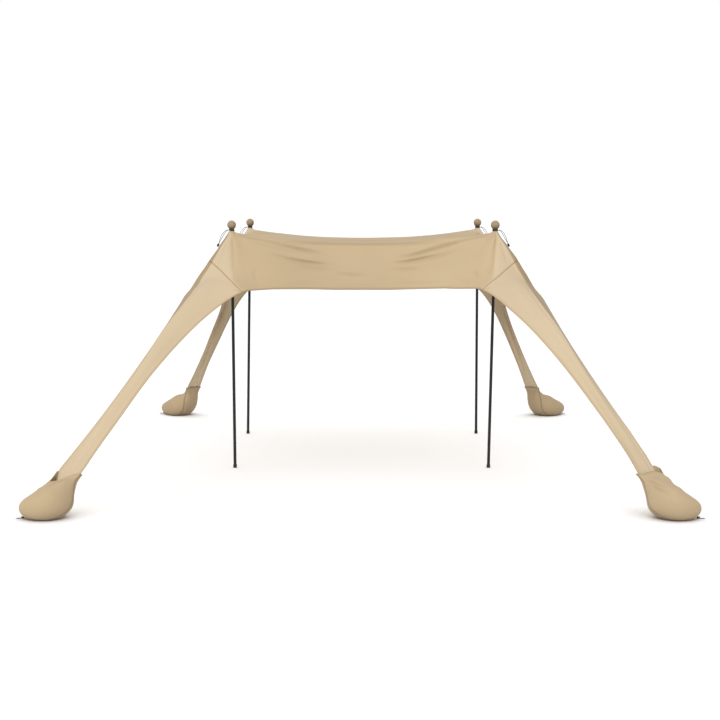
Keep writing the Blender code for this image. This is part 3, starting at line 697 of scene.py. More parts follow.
# the points near a line, their distances from it, the shares run along it, and their sides of it,
# which are above zero on its right seen from outside
def lineDistances(points, normals, line, reach):
    inBox = (points > line.min(axis=0) - reach) & (points < line.max(axis=0) + reach)
    near = np.where(inBox.all(axis=1))[0]
    best, side, run = np.full(len(near), np.inf), np.zeros(len(near)), np.zeros(len(near))
    for k in range(len(line) - 1):
        start, step = line[k], line[k + 1] - line[k]
        f = np.clip((points[near] - start) @ step / (step @ step), 0.0, 1.0)
        away = points[near] - (start + f[:, None] * step)
        distance = np.linalg.norm(away, axis=1)
        better = distance < best
        best[better] = distance[better]
        run[better] = (k + f[better]) / (len(line) - 1)
        side[better] = np.einsum("ij,ij->i", away, np.cross(step, normals[near]))[better]
    return near, best, run, side


# heights of folds along lines of points; each fold is depth high, dies out over the given share of
# each end, and is width wide on its left seen from outside, and lee wide on its right
def foldHeights(points, normals, folds):
    heights = np.zeros(len(points))
    for middle, item in folds:
        reach = 3 * max(item["width"], item["lee"])
        near, best, run, side = lineDistances(points, normals, middle, reach)
        first, last = item["fade"]
        taper = smoothStep(run, 0.0, first) * smoothStep(1 - run, 0.0, last)
        heights[near] += item["depth"] * bell(best, np.where(side > 0, item["lee"], item["width"])) * taper
    return heights


def netFolds(grid, folds):
    lines = [smoothRoute([(*place, 0.0) for place in fold["line"]], 0.12) for fold in folds]
    return [(sampled(grid, line[:, 0], line[:, 1])[:, :3], fold) for line, fold in zip(lines, folds)]


def fold(line, depth, width, lee=None, fade=(0.35, 0.35)):
    lee = width if lee is None else lee
    return {"line": line, "depth": depth, "width": width, "lee": lee, "fade": fade}


# layers are flat maps by name; around is the length after which a map that goes round starts again
def newPiece(name, points, faces, layers, shade, material, around=0.0):
    mesh = bpy.data.meshes.new(name)
    mesh.from_pydata(points.tolist(), [], faces)
    loops = np.empty(len(mesh.loops), int)
    mesh.loops.foreach_get("vertex_index", loops)
    for layer, values in layers.items():
        places = values[loops]
        if around:
            owner = np.repeat(np.arange(len(faces)), [len(face) for face in faces])
            furthest = np.full(len(faces), -np.inf)
            np.maximum.at(furthest, owner, places[:, 0])
            places[:, 0] += around * (furthest[owner] - places[:, 0] > around / 2)
        mesh.uv_layers.new(name=layer).data.foreach_set("uv", places.ravel())
    mesh.attributes.new("shade", "FLOAT", "POINT").data.foreach_set("value", shade)
    mesh.shade_smooth()
    mesh.materials.append(material)
    item = bpy.data.objects.new(name, mesh)
    bpy.context.scene.collection.objects.link(item)
    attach(item, "root")
    return item


# a closed shell about a middle surface: half its thickness each way, and a wall round each rim, with
# sharp edges where it is joined to the next piece, so that the cloth looks the same across the join
def clothShell(name, points, normals, faces, half, layers, shade, material, joined):
    count = len(points)
    both = np.concatenate([points + normals * half[:, None], points - normals * half[:, None]])
    uses = {(int(a), int(b)) for face in faces for a, b in zip(face, np.roll(face, -1))}
    allFaces = [tuple(int(v) for v in face) for face in faces]
    allFaces += [tuple(v + count for v in face[::-1]) for face in allFaces]
    allFaces += [(b, a, a + count, b + count) for a, b in uses if (b, a) not in uses]
    doubled = {layer: np.tile(values, (2, 1)) for layer, values in layers.items()}
    item = newPiece(name, both, allFaces, doubled, np.tile(shade, 2), material)
    ends = np.empty(2 * len(item.data.edges), int)
    item.data.edges.foreach_get("vertices", ends)
    ends = ends.reshape(-1, 2)
    sharp = np.tile(joined, 2)[ends].all(axis=1) & ((ends[:, 0] < count) == (ends[:, 1] < count))
    item.data.attributes.new("sharp_edge", "BOOLEAN", "EDGE").data.foreach_set("value", sharp)
    return item


def gridFaces(rows, columns):
    a = (np.arange(rows - 1)[:, None] * columns + np.arange(columns - 1)[None, :]).ravel()
    return np.stack([a, a + columns, a + columns + 1, a + 1], axis=1)


grids = fineGrids()
print("sheet: smooth surface done")

# hems and seams: distances and depths in metres, and painted shade along them as shares of the cloth's own
# colour
trim = {
    "hemWidth": 0.018, "hemHalf": 0.0019, "bodyHalf": 0.0009, "hemShade": 0.76, "stitchAt": 0.015,
    "stitchDip": 0.0006, "seamDip": 0.0022, "seamReach": 0.008, "seamShade": 0.86, "away": 0.06,
}


# half the thickness near the hems, and the painted shade that darkens them, from the distances to them
def hemmed(hem, half, shade):
    band = 1 - smoothStep(hem, trim["hemWidth"] - 0.002, trim["hemWidth"] + 0.003)
    half += (trim["hemHalf"] - trim["bodyHalf"]) * band
    half -= trim["stitchDip"] * bell(hem - trim["stitchAt"], 0.002)
    shade *= 1 - (1 - trim["hemShade"]) * band * (0.5 + 0.5 * (1 - smoothStep(hem, 0.0, 0.008)))


# the panel
panelLook = {
    "edgeLines": (0.0, 0.03, 0.06, 0.10, 0.14, 0.18, 0.22, 0.28, 0.36, 0.48, 0.62, 0.80),
    "fineStep": 0.125, "middleStep": 0.25, "roofStep": 0.3, "cell": 0.07,
    "seamLines": (2.5625, 2.6875, 2.8125, 2.9375, 3.0625, 3.1875),
    "patch": 2, "patchRings": 18, "crownStart": 0.52, "neckRadius": 0.0188, "neckRise": 0.0035,
    "neckPull": 0.045, "neckLean": 0.35,
    "pleats": 13, "pleatDepth": 0.0016, "pleatReach": 0.045,
    "rays": 7, "rayDepth": 0.0026, "rayStart": 0.05, "rayReach": 0.20,
    # painted shading of the panel: folds painted darker and their crests lighter, the gussets and the cloth
    # before the back necks painted lighter as painted light, and the side strips darker as painted shade
    "swell": 0.0022, "swellSize": 0.55, "foldShade": 10.0, "gussetPaintedLight": 0.22, "stripShade": 0.78,
    "neckPaintedLight": 0.42,
    "frontHemRise": ((3.5, 0.0), (6.0, 0.005), (9.5, 0.0), (13.0, -0.009), (19.0, -0.009), (22.0, 0.0),
                     (25.0, 0.010), (27.3, 0.006), (28.4, 0.001), (29.0, 0.0)),
}
# the right end of the front hem is drawn up, and the panel and the leg both follow it
hemEnd = {"net": (29.0, 0.0), "rise": 0.018, "reach": 0.20}


def hemEndRise(points):
    place = sampled(grids[0], *(np.array([v]) for v in hemEnd["net"]))[0, :3]
    return hemEnd["rise"] * bell(np.linalg.norm(points - place, axis=1), hemEnd["reach"])


# the seam between the panel and a leg, by net place, from the front hem over the leg's ridge to the
# side hem
legSeam = ((3.12, 0.0), (2.98, 0.5), (2.88, 1.2), (2.86, 2.25), (2.76, 3.0), (2.58, 3.8), (2.26, 4.5),
           (1.80, 4.6), (1.2, 4.2), (0.5, 3.6), (0.0, 3.2))
# the gusset painted lighter as painted light ends at these columns, by row, and the leg's ridge is at these
# rows, by column
gussetEnds = ((0.0, 3.20), (0.5, 3.12), (1.0, 3.14), (1.88, 4.0), (2.62, 4.62), (3.38, 4.88), (4.12, 4.92),
              (5.0, 5.0))
ridgePlaces = ((0.0, 1.6), (0.5, 1.88), (1.88, 2.88), (2.75, 3.38), (3.5, 3.75), (4.25, 4.2), (5.0, 5.0))

# folds of the front skirt, by net place, each from left to right as seen from the front
frontFolds = [
    fold(((5.7, 4.72), (7.2, 4.58), (8.9, 4.25), (10.1, 3.97), (11.4, 3.72), (12.9, 3.35)),
         -0.0140, 0.008, 0.030, (0.65, 0.4)),
    fold(((6.7, 3.55), (8.2, 3.06), (9.2, 2.82), (10.4, 2.64), (11.6, 2.5), (13.6, 2.36)),
         -0.0125, 0.008, 0.026, (0.6, 0.45)),
    fold(((5.7, 4.45), (8.0, 4.62), (11.0, 4.50), (13.0, 4.42)), -0.0045, 0.010, 0.016, (0.3, 0.6)),
    fold(((5.7, 4.15), (7.4, 3.85), (9.4, 3.45), (11.0, 3.10)), -0.0040, 0.010, 0.018, (0.3, 0.6)),
    fold(((17.5, 4.35), (20.5, 4.55), (22.6, 4.68), (24.4, 4.45)), -0.0045, 0.010, 0.016, (0.6, 0.3)),
    fold(((20.6, 2.35), (22.4, 2.75), (24.2, 3.45), (25.0, 3.95)), -0.0040, 0.010, 0.018, (0.6, 0.3)),
    fold(((9.0, 2.3), (11.0, 2.0), (13.5, 1.9)), -0.0045, 0.018, 0.026),
    fold(((12.6, 1.62), (14.75, 1.42), (17.0, 1.36)), -0.0070, 0.011, 0.024, (0.5, 0.5)),
    fold(((21.6, 4.1), (22.6, 4.2), (23.6, 4.3), (24.9, 4.6), (25.9, 4.9)),
         -0.0120, 0.008, 0.018, (0.45, 0.45)),
    fold(((19.0, 3.1), (20.2, 3.25), (21.1, 3.45), (22.3, 3.85), (23.3, 4.05), (25.0, 4.4)),
         -0.0140, 0.008, 0.026, (0.45, 0.4)),
    fold(((18.6, 2.5), (20.6, 2.75), (21.9, 3.0), (22.6, 3.12), (24.2, 3.5)),
         -0.0132, 0.008, 0.024, (0.4, 0.5)),
    fold(((18.4, 2.05), (20.7, 1.92), (22.3, 1.95)), -0.0060, 0.012, 0.024, (0.5, 0.4)),
    fold(((19.0, 0.6), (23.0, 0.55), (25.6, 0.62)), -0.0045, 0.010, 0.018, (0.5, 0.4)),
    fold(((7.2, 0.6), (10.0, 0.52), (13.0, 0.55)), -0.0032, 0.012, 0.018, (0.4, 0.5)),
    fold(((25.6, 2.1), (26.6, 1.5), (27.5, 0.7)), -0.0060, 0.012, 0.016, (0.5, 0.3)),
    fold(((24.6, 1.2), (25.9, 0.9), (27.4, 0.4)), -0.0050, 0.010, 0.014, (0.5, 0.3)),
    fold(((26.2, 2.9), (27.2, 2.1), (28.2, 1.2)), -0.0045, 0.011, 0.015, (0.5, 0.3)),
    fold(((5.2, 0.6), (5.7, 1.4), (6.6, 2.1)), -0.0042, 0.012, 0.018, (0.3, 0.5)),
]
# the valley just in front of the ridge between two poles, and the short folds by a neck
ridgeFolds = [
    fold(((8.0, 4.95), (11.5, 5.15), (16.0, 5.30), (20.5, 5.15), (24.0, 4.95)),
         -0.0140, 0.034, 0.034, (0.25, 0.25)),
    fold(((5.5, 4.72), (6.3, 4.62), (7.6, 4.66)), -0.0060, 0.012, 0.020, (0.25, 0.5)),
    fold(((24.4, 4.66), (25.7, 4.62), (26.5, 4.72)), -0.0050, 0.012, 0.020, (0.5, 0.25)),
]
# soft upright folds under a neck, where the skirt turns from the front into the leg
neckFolds = [
    fold(((4.90, 4.4), (4.90, 3.4), (4.62, 2.6), (4.0, 1.88), (3.3, 1.1)),
         -0.0075, 0.012, 0.018, (0.15, 0.3)),
    fold(((5.35, 4.3), (5.35, 3.0), (5.0, 2.0), (4.4, 1.2)), 0.0040, 0.020, 0.028, (0.2, 0.5)),
    fold(((4.55, 4.2), (4.0, 3.55), (3.4, 3.1), (2.9, 2.75)), -0.0050, 0.007, 0.012, (0.15, 0.3)),
    fold(((4.8, 4.7), (4.25, 4.2), (3.5, 3.78), (2.75, 3.4), (1.88, 2.88), (0.5, 1.9)),
         0.0060, 0.012, 0.012, (0.12, 0.1)),
]


# the same folds at another side of the panel: mirrored across it either way, or on a side skirt
def turned(folds, overX, overY, swap, share=1.0):
    n = sheet["cells"]
    result = []
    for item in folds:
        line = [(n - i if overX else i, n - j if overY else j) for i, j in item["line"]]
        line = [(j, i) if swap else (i, j) for i, j in line]
        flip = (overX + overY + swap) % 2
        result.append({**item, "line": line, "depth": item["depth"] * share,
                       "width": item["lee" if flip else "width"], "lee": item["width" if flip else "lee"]})
    return result


panelFolds = frontFolds + ridgeFolds
panelFolds += turned(frontFolds, True, True, False, 0.9) + turned(ridgeFolds, True, True, False)
panelFolds += turned(frontFolds, False, False, True, 0.8) + turned(ridgeFolds, False, False, True, 0.9)
panelFolds += turned(frontFolds, True, True, True, 0.8) + turned(ridgeFolds, True, True, True, 0.9)
for overX in (False, True):
    for overY in (False, True):
        panelFolds += turned(neckFolds, overX, overY, False)
        panelFolds += turned(neckFolds[:2], overX, overY, True, 0.8)
# broad swells that set the outline beside the legs' ridges
ridgeForm = [fold(((4.5, 5.0), (3.7, 4.8), (3.0, 4.5), (2.38, 4.15), (1.62, 3.8), (0.9, 3.25), (0.1, 2.5)),
                  0.018, 0.055, None, (0.42, 0.45))]
panelForms = (turned(ridgeForm, False, False, False) + turned(ridgeForm, True, False, False, 1.5)
              + turned(ridgeForm, False, True, False, 0.8) + turned(ridgeForm, True, True, False, 0.8))
panelSeams = [turned([fold(legSeam, 0.0, 0.01)], overX, overY, False)[0]
              for overX in (False, True) for overY in (False, True)]


# distances from the hems and from the legs, the run along the nearest edge, and the cloth's flat map
def panelDistances(a, b):
    n, seam, cell = sheet["cells"], sheet["seamCells"], panelLook["cell"]
    full = np.dstack([arcs(grids[0], 0), arcs(grids[0], 1)])
    here = sampled(full, a, b)
    even = np.arange(grids[0].shape[0]) / sheet["fine"]
    flatMap = np.stack([np.interp(a, even, full[..., 0].mean(axis=1)),
                        np.interp(b, even, full[..., 1].mean(axis=0))], axis=1)
    zero, last = np.zeros_like(a), np.full_like(a, n)
    sides = [(here[:, 0] - sampled(full, zero, b)[:, 0], b, here[:, 1]),
             (sampled(full, last, b)[:, 0] - here[:, 0], b, here[:, 1]),
             (here[:, 1] - sampled(full, a, zero)[:, 1], a, here[:, 0]),
             (sampled(full, a, last)[:, 1] - here[:, 1], a, here[:, 0])]
    hem, legAway, run = np.full(len(a), 9.0), np.full(len(a), 9.0), np.zeros(len(a))
    for distance, along, arc in sides:
        end = np.minimum(along, n - along)
        hemHere = np.hypot(distance, np.maximum(0.0, seam - end) * cell)
        run = np.where(hemHere < hem, arc, run)
        hem = np.minimum(hem, hemHere)
        legAway = np.minimum(legAway, np.hypot(distance, np.maximum(0.0, end - seam) * cell))
    return hem, legAway, run, flatMap


# whether net places lie inside an outline of places
def insideOutline(a, b, outline):
    crossings = np.zeros(len(a), int)
    for (a0, b0), (a1, b1) in zip(outline, outline[1:] + outline[:1]):
        if b0 != b1:
            crossings += ((b0 > b) != (b1 > b)) & (a < a0 + (b - b0) / (b1 - b0) * (a1 - a0))
    return crossings % 2 == 1


# rings from the net's square round a pole in to the neck, where the cloth is drawn up into the tie
def neckPatch(ring, a, b, corner):
    patch, q0, rings = panelLook["patch"], panelLook["crownStart"], panelLook["patchRings"]
    pi, pj = poleCell(corner)
    neck = legFrame(corner)[0]
    offset = np.stack([a[ring] - pi, b[ring] - pj], axis=1).astype(float)
    circle = patch * offset / np.linalg.norm(offset, axis=1)[:, None]
    outer = sampled(grids[0], pi + circle[:, 0] * q0, pj + circle[:, 1] * q0)[:, :3]
    further = sampled(grids[0], pi + circle[:, 0] * (q0 + 0.04), pj + circle[:, 1] * (q0 + 0.04))[:, :3]
    slope = outer - further
    slope *= (np.linalg.norm(outer - neck, axis=1) / np.linalg.norm(slope, axis=1))[:, None] * 0.9
    angle = np.arctan2(outer[:, 1] - neck[1], outer[:, 0] - neck[0])
    way = np.stack([np.cos(angle), np.sin(angle), np.zeros(len(angle))], axis=1)
    around = np.stack([-way[:, 1], way[:, 0], np.zeros(len(way))], axis=1)
    inner = neck + way * panelLook["neckRadius"] + np.array([0, 0, panelLook["neckRise"]])
    end = (np.array([0.0, 0.0, 1.0]) - way * panelLook["neckLean"]) * panelLook["neckPull"]
    places, nets = [], []
    for r in range(1, rings + 1):
        q = 1 - r / rings
        if q > q0:
            f = smoothStep((1 - q) / (1 - q0), 0.0, 1.0)
            net = q * ((1 - f) * offset + f * circle)
            here = sampled(grids[0], pi + net[:, 0], pj + net[:, 1])
        else:
            net = q * circle
            t = ((q0 - q) / q0) ** 0.8
            spot = ((2 * t ** 3 - 3 * t ** 2 + 1) * outer + (t ** 3 - 2 * t ** 2 + t) * slope
                    + (3 * t ** 2 - 2 * t ** 3) * inner + (t ** 3 - t ** 2) * end)
            ahead = ((6 * t ** 2 - 6 * t) * (outer - inner) + (3 * t ** 2 - 4 * t + 1) * slope
                     + (3 * t ** 2 - 2 * t) * end)
            facing = np.cross(around, -ahead)
            facing /= np.linalg.norm(facing, axis=1)[:, None]
            facing *= np.sign(facing[:, 2:3] + 0.3 * np.einsum("ij,ij->i", facing, way)[:, None])
            here = np.concatenate([spot, facing], axis=1)
        places.append(here)
        nets.append(net + (pi, pj))
    return places, nets


# the panel's mesh: points, normals, net places and faces, with rings about each neck
def panelMesh():
    n, patch = sheet["cells"], panelLook["patch"]
    low = sheet["poleCell"] + 1
    start = np.concatenate([panelLook["edgeLines"], np.arange(1.0, low, panelLook["fineStep"]),
                            panelLook["seamLines"], np.arange(low, low + 1.0, panelLook["middleStep"])])
    start = np.sort(start)
    roof = np.linspace(low + 1, n - low - 1, round((n - 2 * low - 2) / panelLook["roofStep"]) + 1)
    lines = np.concatenate([start, roof, (n - start)[::-1]])
    count = len(lines)
    a, b = (g.ravel() for g in np.meshgrid(lines, lines, indexing="ij"))
    values = sampled(grids[0], a, b)
    ids = np.arange(len(a)).reshape(count, count)
    faces = gridFaces(count, count)
    middleA, middleB = a[faces].mean(axis=1), b[faces].mean(axis=1)
    keep = np.ones(len(faces), bool)
    crowns = []
    for corner in corners.values():
        pi, pj = poleCell(corner)
        keep &= ~((abs(middleA - pi) < patch) & (abs(middleB - pj) < patch))
        onI = np.where(abs(lines - pi) < patch + 1e-6)[0]
        onJ = np.where(abs(lines - pj) < patch + 1e-6)[0]
        ring = np.concatenate([ids[onI[:-1], onJ[0]], ids[onI[-1], onJ[:-1]],
                               ids[onI[:0:-1], onJ[-1]], ids[onI[0], onJ[:0:-1]]])
        crowns.append((corner, ring))
    faces = [tuple(face) for face in faces[keep]]
    allValues, allA, allB = [values], [a], [b]
    first = len(a)
    for corner, ring in crowns:
        last = ring
        for here, net in zip(*neckPatch(ring, a, b, corner)):
            new = np.arange(first, first + len(ring))
            faces += [(last[k - 1], last[k], new[k], new[k - 1]) for k in range(len(ring))]
            allValues.append(here)
            allA.append(net[:, 0])
            allB.append(net[:, 1])
            last, first = new, first + len(ring)
    values, a, b = np.concatenate(allValues), np.concatenate(allA), np.concatenate(allB)
    used = np.unique(np.concatenate([np.array(face) for face in faces]))
    newId = np.full(len(values), -1)
    newId[used] = np.arange(len(used))
    faces = [tuple(newId[list(face)]) for face in faces]
    values, a, b = values[used], a[used], b[used]
    normals = values[:, 3:] / np.linalg.norm(values[:, 3:], axis=1)[:, None]
    return values[:, :3], normals, a, b, faces


# pleats and rays about the necks, added to the lift, and the painted light that brightens the cloth in
# front of the back ones
def pullAtNecks(points, lift):
    neckLight = np.zeros(len(points))
    for corner in corners.values():
        reach = points - legFrame(corner)[0]
        radius = np.maximum(np.hypot(reach[:, 0], reach[:, 1]), 0.001)
        angle = np.arctan2(reach[:, 1], reach[:, 0]) + corner["side"] * 0.7 + corner["end"] * 1.9
        lift *= smoothStep(radius, 0.016, 0.06)
        lift += panelLook["pleatDepth"] * bell(radius - 0.019, panelLook["pleatReach"]) * (
            np.cos(panelLook["pleats"] * angle) + 0.5 * np.cos(9 * angle + 1.0))
        lift += panelLook["rayDepth"] * smoothStep(radius, 0.02, panelLook["rayStart"]) * bell(
            radius, panelLook["rayReach"]) * np.cos(panelLook["rays"] * angle + 2.0)
        # painted light in front of each back neck
        if corner["end"] > 0:
            before = smoothStep(-reach[:, 1] / radius, 0.45, 0.75)
            neckLight += panelLook["neckPaintedLight"] * bell(radius - 0.06, 0.05) * before
    return neckLight


# the run along the nearest seam and the distance from it, which is below zero on the leg's side
def seamPlaces(points, normals, nearA, nearB):
    seamMap = np.full((len(points), 2), trim["away"])
    for route, _ in netFolds(grids[0], panelSeams):
        near, best, share, _ = lineDistances(points, normals, route, trim["away"])
        close = best < seamMap[near, 1]
        seamMap[near[close], 0] = share[close] * routeLength(route)
        seamMap[near[close], 1] = best[close]
    outline = smoothRoute([(*place, 0.0) for place in legSeam], 0.12)[:, :2].tolist() + [[0.0, 0.0]]
    seamMap[insideOutline(nearA, nearB, outline), 1] *= -1
    return seamMap


def makePanel():
    n = sheet["cells"]
    points, normals, a, b, faces = panelMesh()
    hem, legAway, run, uv = panelDistances(a, b)
    lift = foldHeights(points, normals, netFolds(grids[0], panelFolds))
    lift += panelLook["swell"] * softSwells(points * (0.5, 1.0, 1.3), panelLook["swellSize"], 11)
    lift *= smoothStep(legAway, 0.0, 0.12) * (0.35 + 0.65 * smoothStep(hem, 0.0, 0.05))
    form = foldHeights(points, normals, netFolds(grids[0], panelForms)) * smoothStep(legAway, 0.0, 0.09)
    rise = np.interp(a, *zip(*panelLook["frontHemRise"])) * (1 - smoothStep(b, 0.0, 3.0))
    rise += hemEndRise(points)
    neckLight = pullAtNecks(points, lift)
    nearA, nearB = np.minimum(a, n - a), np.minimum(b, n - b)
    # painted light on the gusset beside each leg, and painted shade on the side strip past the leg's ridge
    gusset = (smoothStep(np.interp(nearB, *zip(*gussetEnds)) - nearA, -0.15, 0.15)
              * smoothStep(np.interp(nearA, *zip(*gussetEnds)) - nearB, -0.15, 0.15))
    strip = gusset * smoothStep(nearB - np.interp(nearA, *zip(*ridgePlaces)), -0.05, 0.2)
    shade = 1 + neckLight + panelLook["gussetPaintedLight"] * (gusset - strip) - (1 - panelLook["stripShade"]) * strip
    # painted shade in the hollows of the folds, swells and pleats, and painted light on their crests
    shade += np.clip(lift, -0.015, 0.004) * panelLook["foldShade"]
    seamMap = seamPlaces(points, normals, nearA, nearB)
    lift -= trim["seamDip"] * bell(seamMap[:, 1], trim["seamReach"]) * smoothStep(legAway, 0.0, 0.03)
    # painted shade along the seam's groove
    shade *= 1 - (1 - trim["seamShade"]) * bell(seamMap[:, 1], trim["seamReach"])
    half = np.full(len(points), trim["bodyHalf"])
    hemmed(hem, half, shade)
    layers = {"cloth": uv, "edge": np.stack([run, hem], axis=1), "seam": seamMap}
    joined = (np.minimum(nearA, nearB) < 0.001) & (np.maximum(nearA, nearB) < sheet["seamCells"] + 0.001)
    points = points + normals * (lift + form)[:, None] + np.outer(rise, (0.0, 0.0, 1.0))
    item = clothShell("canopyPanel", points, normals, faces, half, layers, shade, panelMaterial, joined)
    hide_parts("canopy_panel")
    return item


panel = makePanel()

# the legs
legLook = {
    "rowLines": (0.0, 0.015, 0.03, 0.05, 0.075, 0.11, 0.17), "rowStep": 0.125,
    "hemLines": (0.0, 0.002, 0.004, 0.007, 0.011, 0.014, 0.0165, 0.019, 0.023, 0.030), "middle": 52,
    "deeper": 0.125, "deeperRows": 10,
    # painted shading of a leg: painted paler for light on its up-turned face and its stretched knit, darker
    # on its side strip as painted shade, and darker in folds
    "stripShade": 0.78, "stretchAndLitPale": 0.22, "foldShade": 10.0,
    "ridge": ((0.0, 1.6), (1.75, 2.40), (2.9, 2.62), (4.1, 2.5), (5.6, 2.7), (8.0, 2.85)),
    "swell": 0.0026, "swellSize": 2.2,
}
# how far the side hem and the other hem draw in, by the distance past the mouth
innerTucks = {
    "front_left": ((-1.0, 0.0), (-0.6, -0.016), (-0.45, -0.017), (-0.3, -0.012), (-0.1, -0.007), (0.0, 0.0),
                   (0.04, 0.006), (0.16, 0.03)),
    "front_right": ((-0.7, 0.0), (-0.34, 0.008), (-0.2, 0.013), (0.0, 0.010), (0.04, 0.012), (0.16, 0.03)),
    "back_left": ((-2.0, 0.0), (-1.6, -0.014), (-1.2, -0.014), (-0.7, -0.010), (-0.4, 0.0), (0.0, 0.0),
                  (0.04, 0.006), (0.16, 0.03)),
    "back_right": ((0.0, 0.0), (0.04, 0.006), (0.16, 0.03)),
}
legTucks = {
    "front_left": ((-2.05, 0.0), (-1.90, 0.014), (-1.50, 0.008), (-0.80, 0.005), (-0.20, 0.0),
                   (-0.01, 0.0), (0.04, 0.020), (0.085, 0.042), (0.16, 0.075)),
    "front_right": ((-0.40, 0.0), (-0.15, 0.016), (-0.08, 0.028), (0.0, 0.040), (0.05, 0.052),
                    (0.16, 0.080)),
    "back_left": ((0.0, 0.0), (0.05, 0.015), (0.16, 0.045)),
    "back_right": ((0.0, 0.0), (0.05, 0.015), (0.16, 0.045)),
}
# folds along a front and a back leg: rows run from the seam, columns from the side hem
legFolds = {
    -1: [
        fold(((0.0, 1.60), (1.75, 2.45), (2.9, 2.68), (4.1, 2.55), (5.6, 2.75), (7.0, 2.85)),
             0.0030, 0.010, 0.010, (0.02, 0.3)),
        fold(((0.4, 2.45), (1.75, 2.85), (2.9, 3.05), (4.1, 2.95), (5.6, 3.05)),
             -0.0050, 0.011, 0.015, (0.1, 0.4)),
        fold(((1.0, 3.3), (4.0, 3.2), (8.0, 3.1)), 0.0040, 0.05, 0.06, (0.4, 0.4)),
        fold(((5.5, 2.3), (8.5, 2.6), (11.0, 2.6)), 0.0050, 0.018, 0.024, (0.4, 0.3)),
        fold(((6.5, 3.7), (9.0, 3.5), (11.3, 3.4)), -0.0040, 0.018, 0.026, (0.4, 0.3)),
        fold(((0.1, 4.9), (0.8, 4.6), (1.8, 4.5)), -0.0040, 0.014, 0.022, (0.15, 0.6)),
    ],
    1: [
        fold(((0.2, 1.7), (3.0, 1.7), (6.0, 2.0)), 0.0060, 0.016, 0.024, (0.1, 0.5)),
        fold(((0.3, 2.4), (3.0, 2.4), (6.0, 2.6)), -0.0050, 0.016, 0.024, (0.1, 0.5)),
        fold(((3.0, 3.4), (7.0, 3.3), (10.5, 3.2)), 0.0040, 0.018, 0.024, (0.4, 0.4)),
        fold(((5.0, 4.0), (8.0, 3.9), (11.0, 3.9)), -0.0030, 0.014, 0.020, (0.4, 0.4)),
    ],
}


def makeLeg(number, name, corner):
    grid = grids[number + 1]
    across = arcs(grid, 1)
    evenRows = np.arange(0.25, sheet["legRows"] + 0.001, legLook["rowStep"])
    rows = np.concatenate([legLook["rowLines"], evenRows])
    hemLines = np.array(legLook["hemLines"])
    columns = 2 * len(hemLines) + legLook["middle"]
    netColumns = np.arange(grid.shape[1]) / sheet["fine"]
    a, b, hem, arc = [], [], [], []
    for row in rows:
        f = min(int(row * sheet["fine"]), grid.shape[0] - 2)
        run = across[f] + (across[f + 1] - across[f]) * (row * sheet["fine"] - f)
        inside = np.linspace(hemLines[-1], run[-1] - hemLines[-1], legLook["middle"] + 2)[1:-1]
        stops = np.concatenate([hemLines, inside, run[-1] - hemLines[::-1]])
        b.append(np.interp(stops, run, netColumns))
        a.append(np.full(len(stops), row))
        hem.append(np.minimum(stops, run[-1] - stops))
        arc.append(stops - np.interp(sheet["seamCells"], netColumns, run))
    a, b, hem, arc = (np.concatenate(v) for v in (a, b, hem, arc))
    values = sampled(grid, a, b)
    _, _, along, acrossWay, _ = legFrame(corner)
    edge = values[-columns:]
    for r in range(1, legLook["deeperRows"] + 1):
        f = r / legLook["deeperRows"]
        moved = edge + np.concatenate([along, np.zeros(3)]) * legLook["deeper"] * f
        values = np.concatenate([values, moved])
        a = np.concatenate([a, np.full(columns, sheet["legRows"] + f)])
        b, hem, arc = (np.concatenate([v, v[-columns:]]) for v in (b, hem, arc))
    points, normals = values[:, :3], values[:, 3:] / np.linalg.norm(values[:, 3:], axis=1)[:, None]
    allRows = len(rows) + legLook["deeperRows"]
    reach = points - np.array(corner["mouth"])
    past, spread = reach @ along, reach @ acrossWay
    widest = np.abs(spread.reshape(allRows, columns)).max(axis=1).repeat(columns)
    outerTuck = np.interp(past, *zip(*legTucks[name])) * np.clip(-spread / widest, 0.0, 1.0)
    innerTuck = np.interp(past, *zip(*innerTucks[name])) * np.clip(spread / widest, 0.0, 1.0)
    points = points + np.outer(outerTuck - innerTuck, acrossWay)
    faces = gridFaces(allRows, columns)
    if corner["side"] * corner["end"] < 0:
        faces = faces[:, ::-1]
    firstRow = points[:columns][np.tile(np.arange(columns), allRows)]
    fromPanel = np.abs((points - firstRow) @ along)
    lift = foldHeights(points, normals, netFolds(grid, legFolds[corner["end"]]))
    swellPlaces = np.stack([a * 0.35, b * 1.1, np.full(len(a), number * 3.0)], axis=1)
    lift += legLook["swell"] * softSwells(swellPlaces, legLook["swellSize"], 21 + number)
    lift *= smoothStep(fromPanel, 0.0, 0.12) * smoothStep(hem, 0.0, 0.035)
    # painted light over the leg's face, painted shade on the strip below its ridge, and painted shade in
    # folds with painted light on their crests
    ridge = np.interp(a, *zip(*legLook["ridge"]))
    strip = 1 - smoothStep(b - ridge, -0.12, 0.06)
    shade = 1 + legLook["stretchAndLitPale"] * (1 - strip * (1 - smoothStep(a, 5.0, 9.0)))
    shade -= (1 - legLook["stripShade"]) * strip * (1 - smoothStep(a, 4.0, 8.0))
    shade += np.clip(lift, -0.010, 0.004) * legLook["foldShade"]
    half = np.full(len(points), trim["bodyHalf"])
    hemmed(hem, half, shade)
    run = np.linalg.norm(points - firstRow, axis=1)
    layers = {"cloth": np.stack([arc, run], axis=1), "edge": np.stack([run, hem], axis=1)}
    points = points + normals * lift[:, None] + np.outer(hemEndRise(points), (0.0, 0.0, 1.0))
    item = clothShell("legCloth_" + name, points, normals, faces, half, layers, shade, legMaterial,
                      a < 0.001)
    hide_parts("leg_" + name)
    return item


for number, (name, corner) in enumerate(corners.items()):
    makeLeg(number, name, corner)
print("sheet: done")

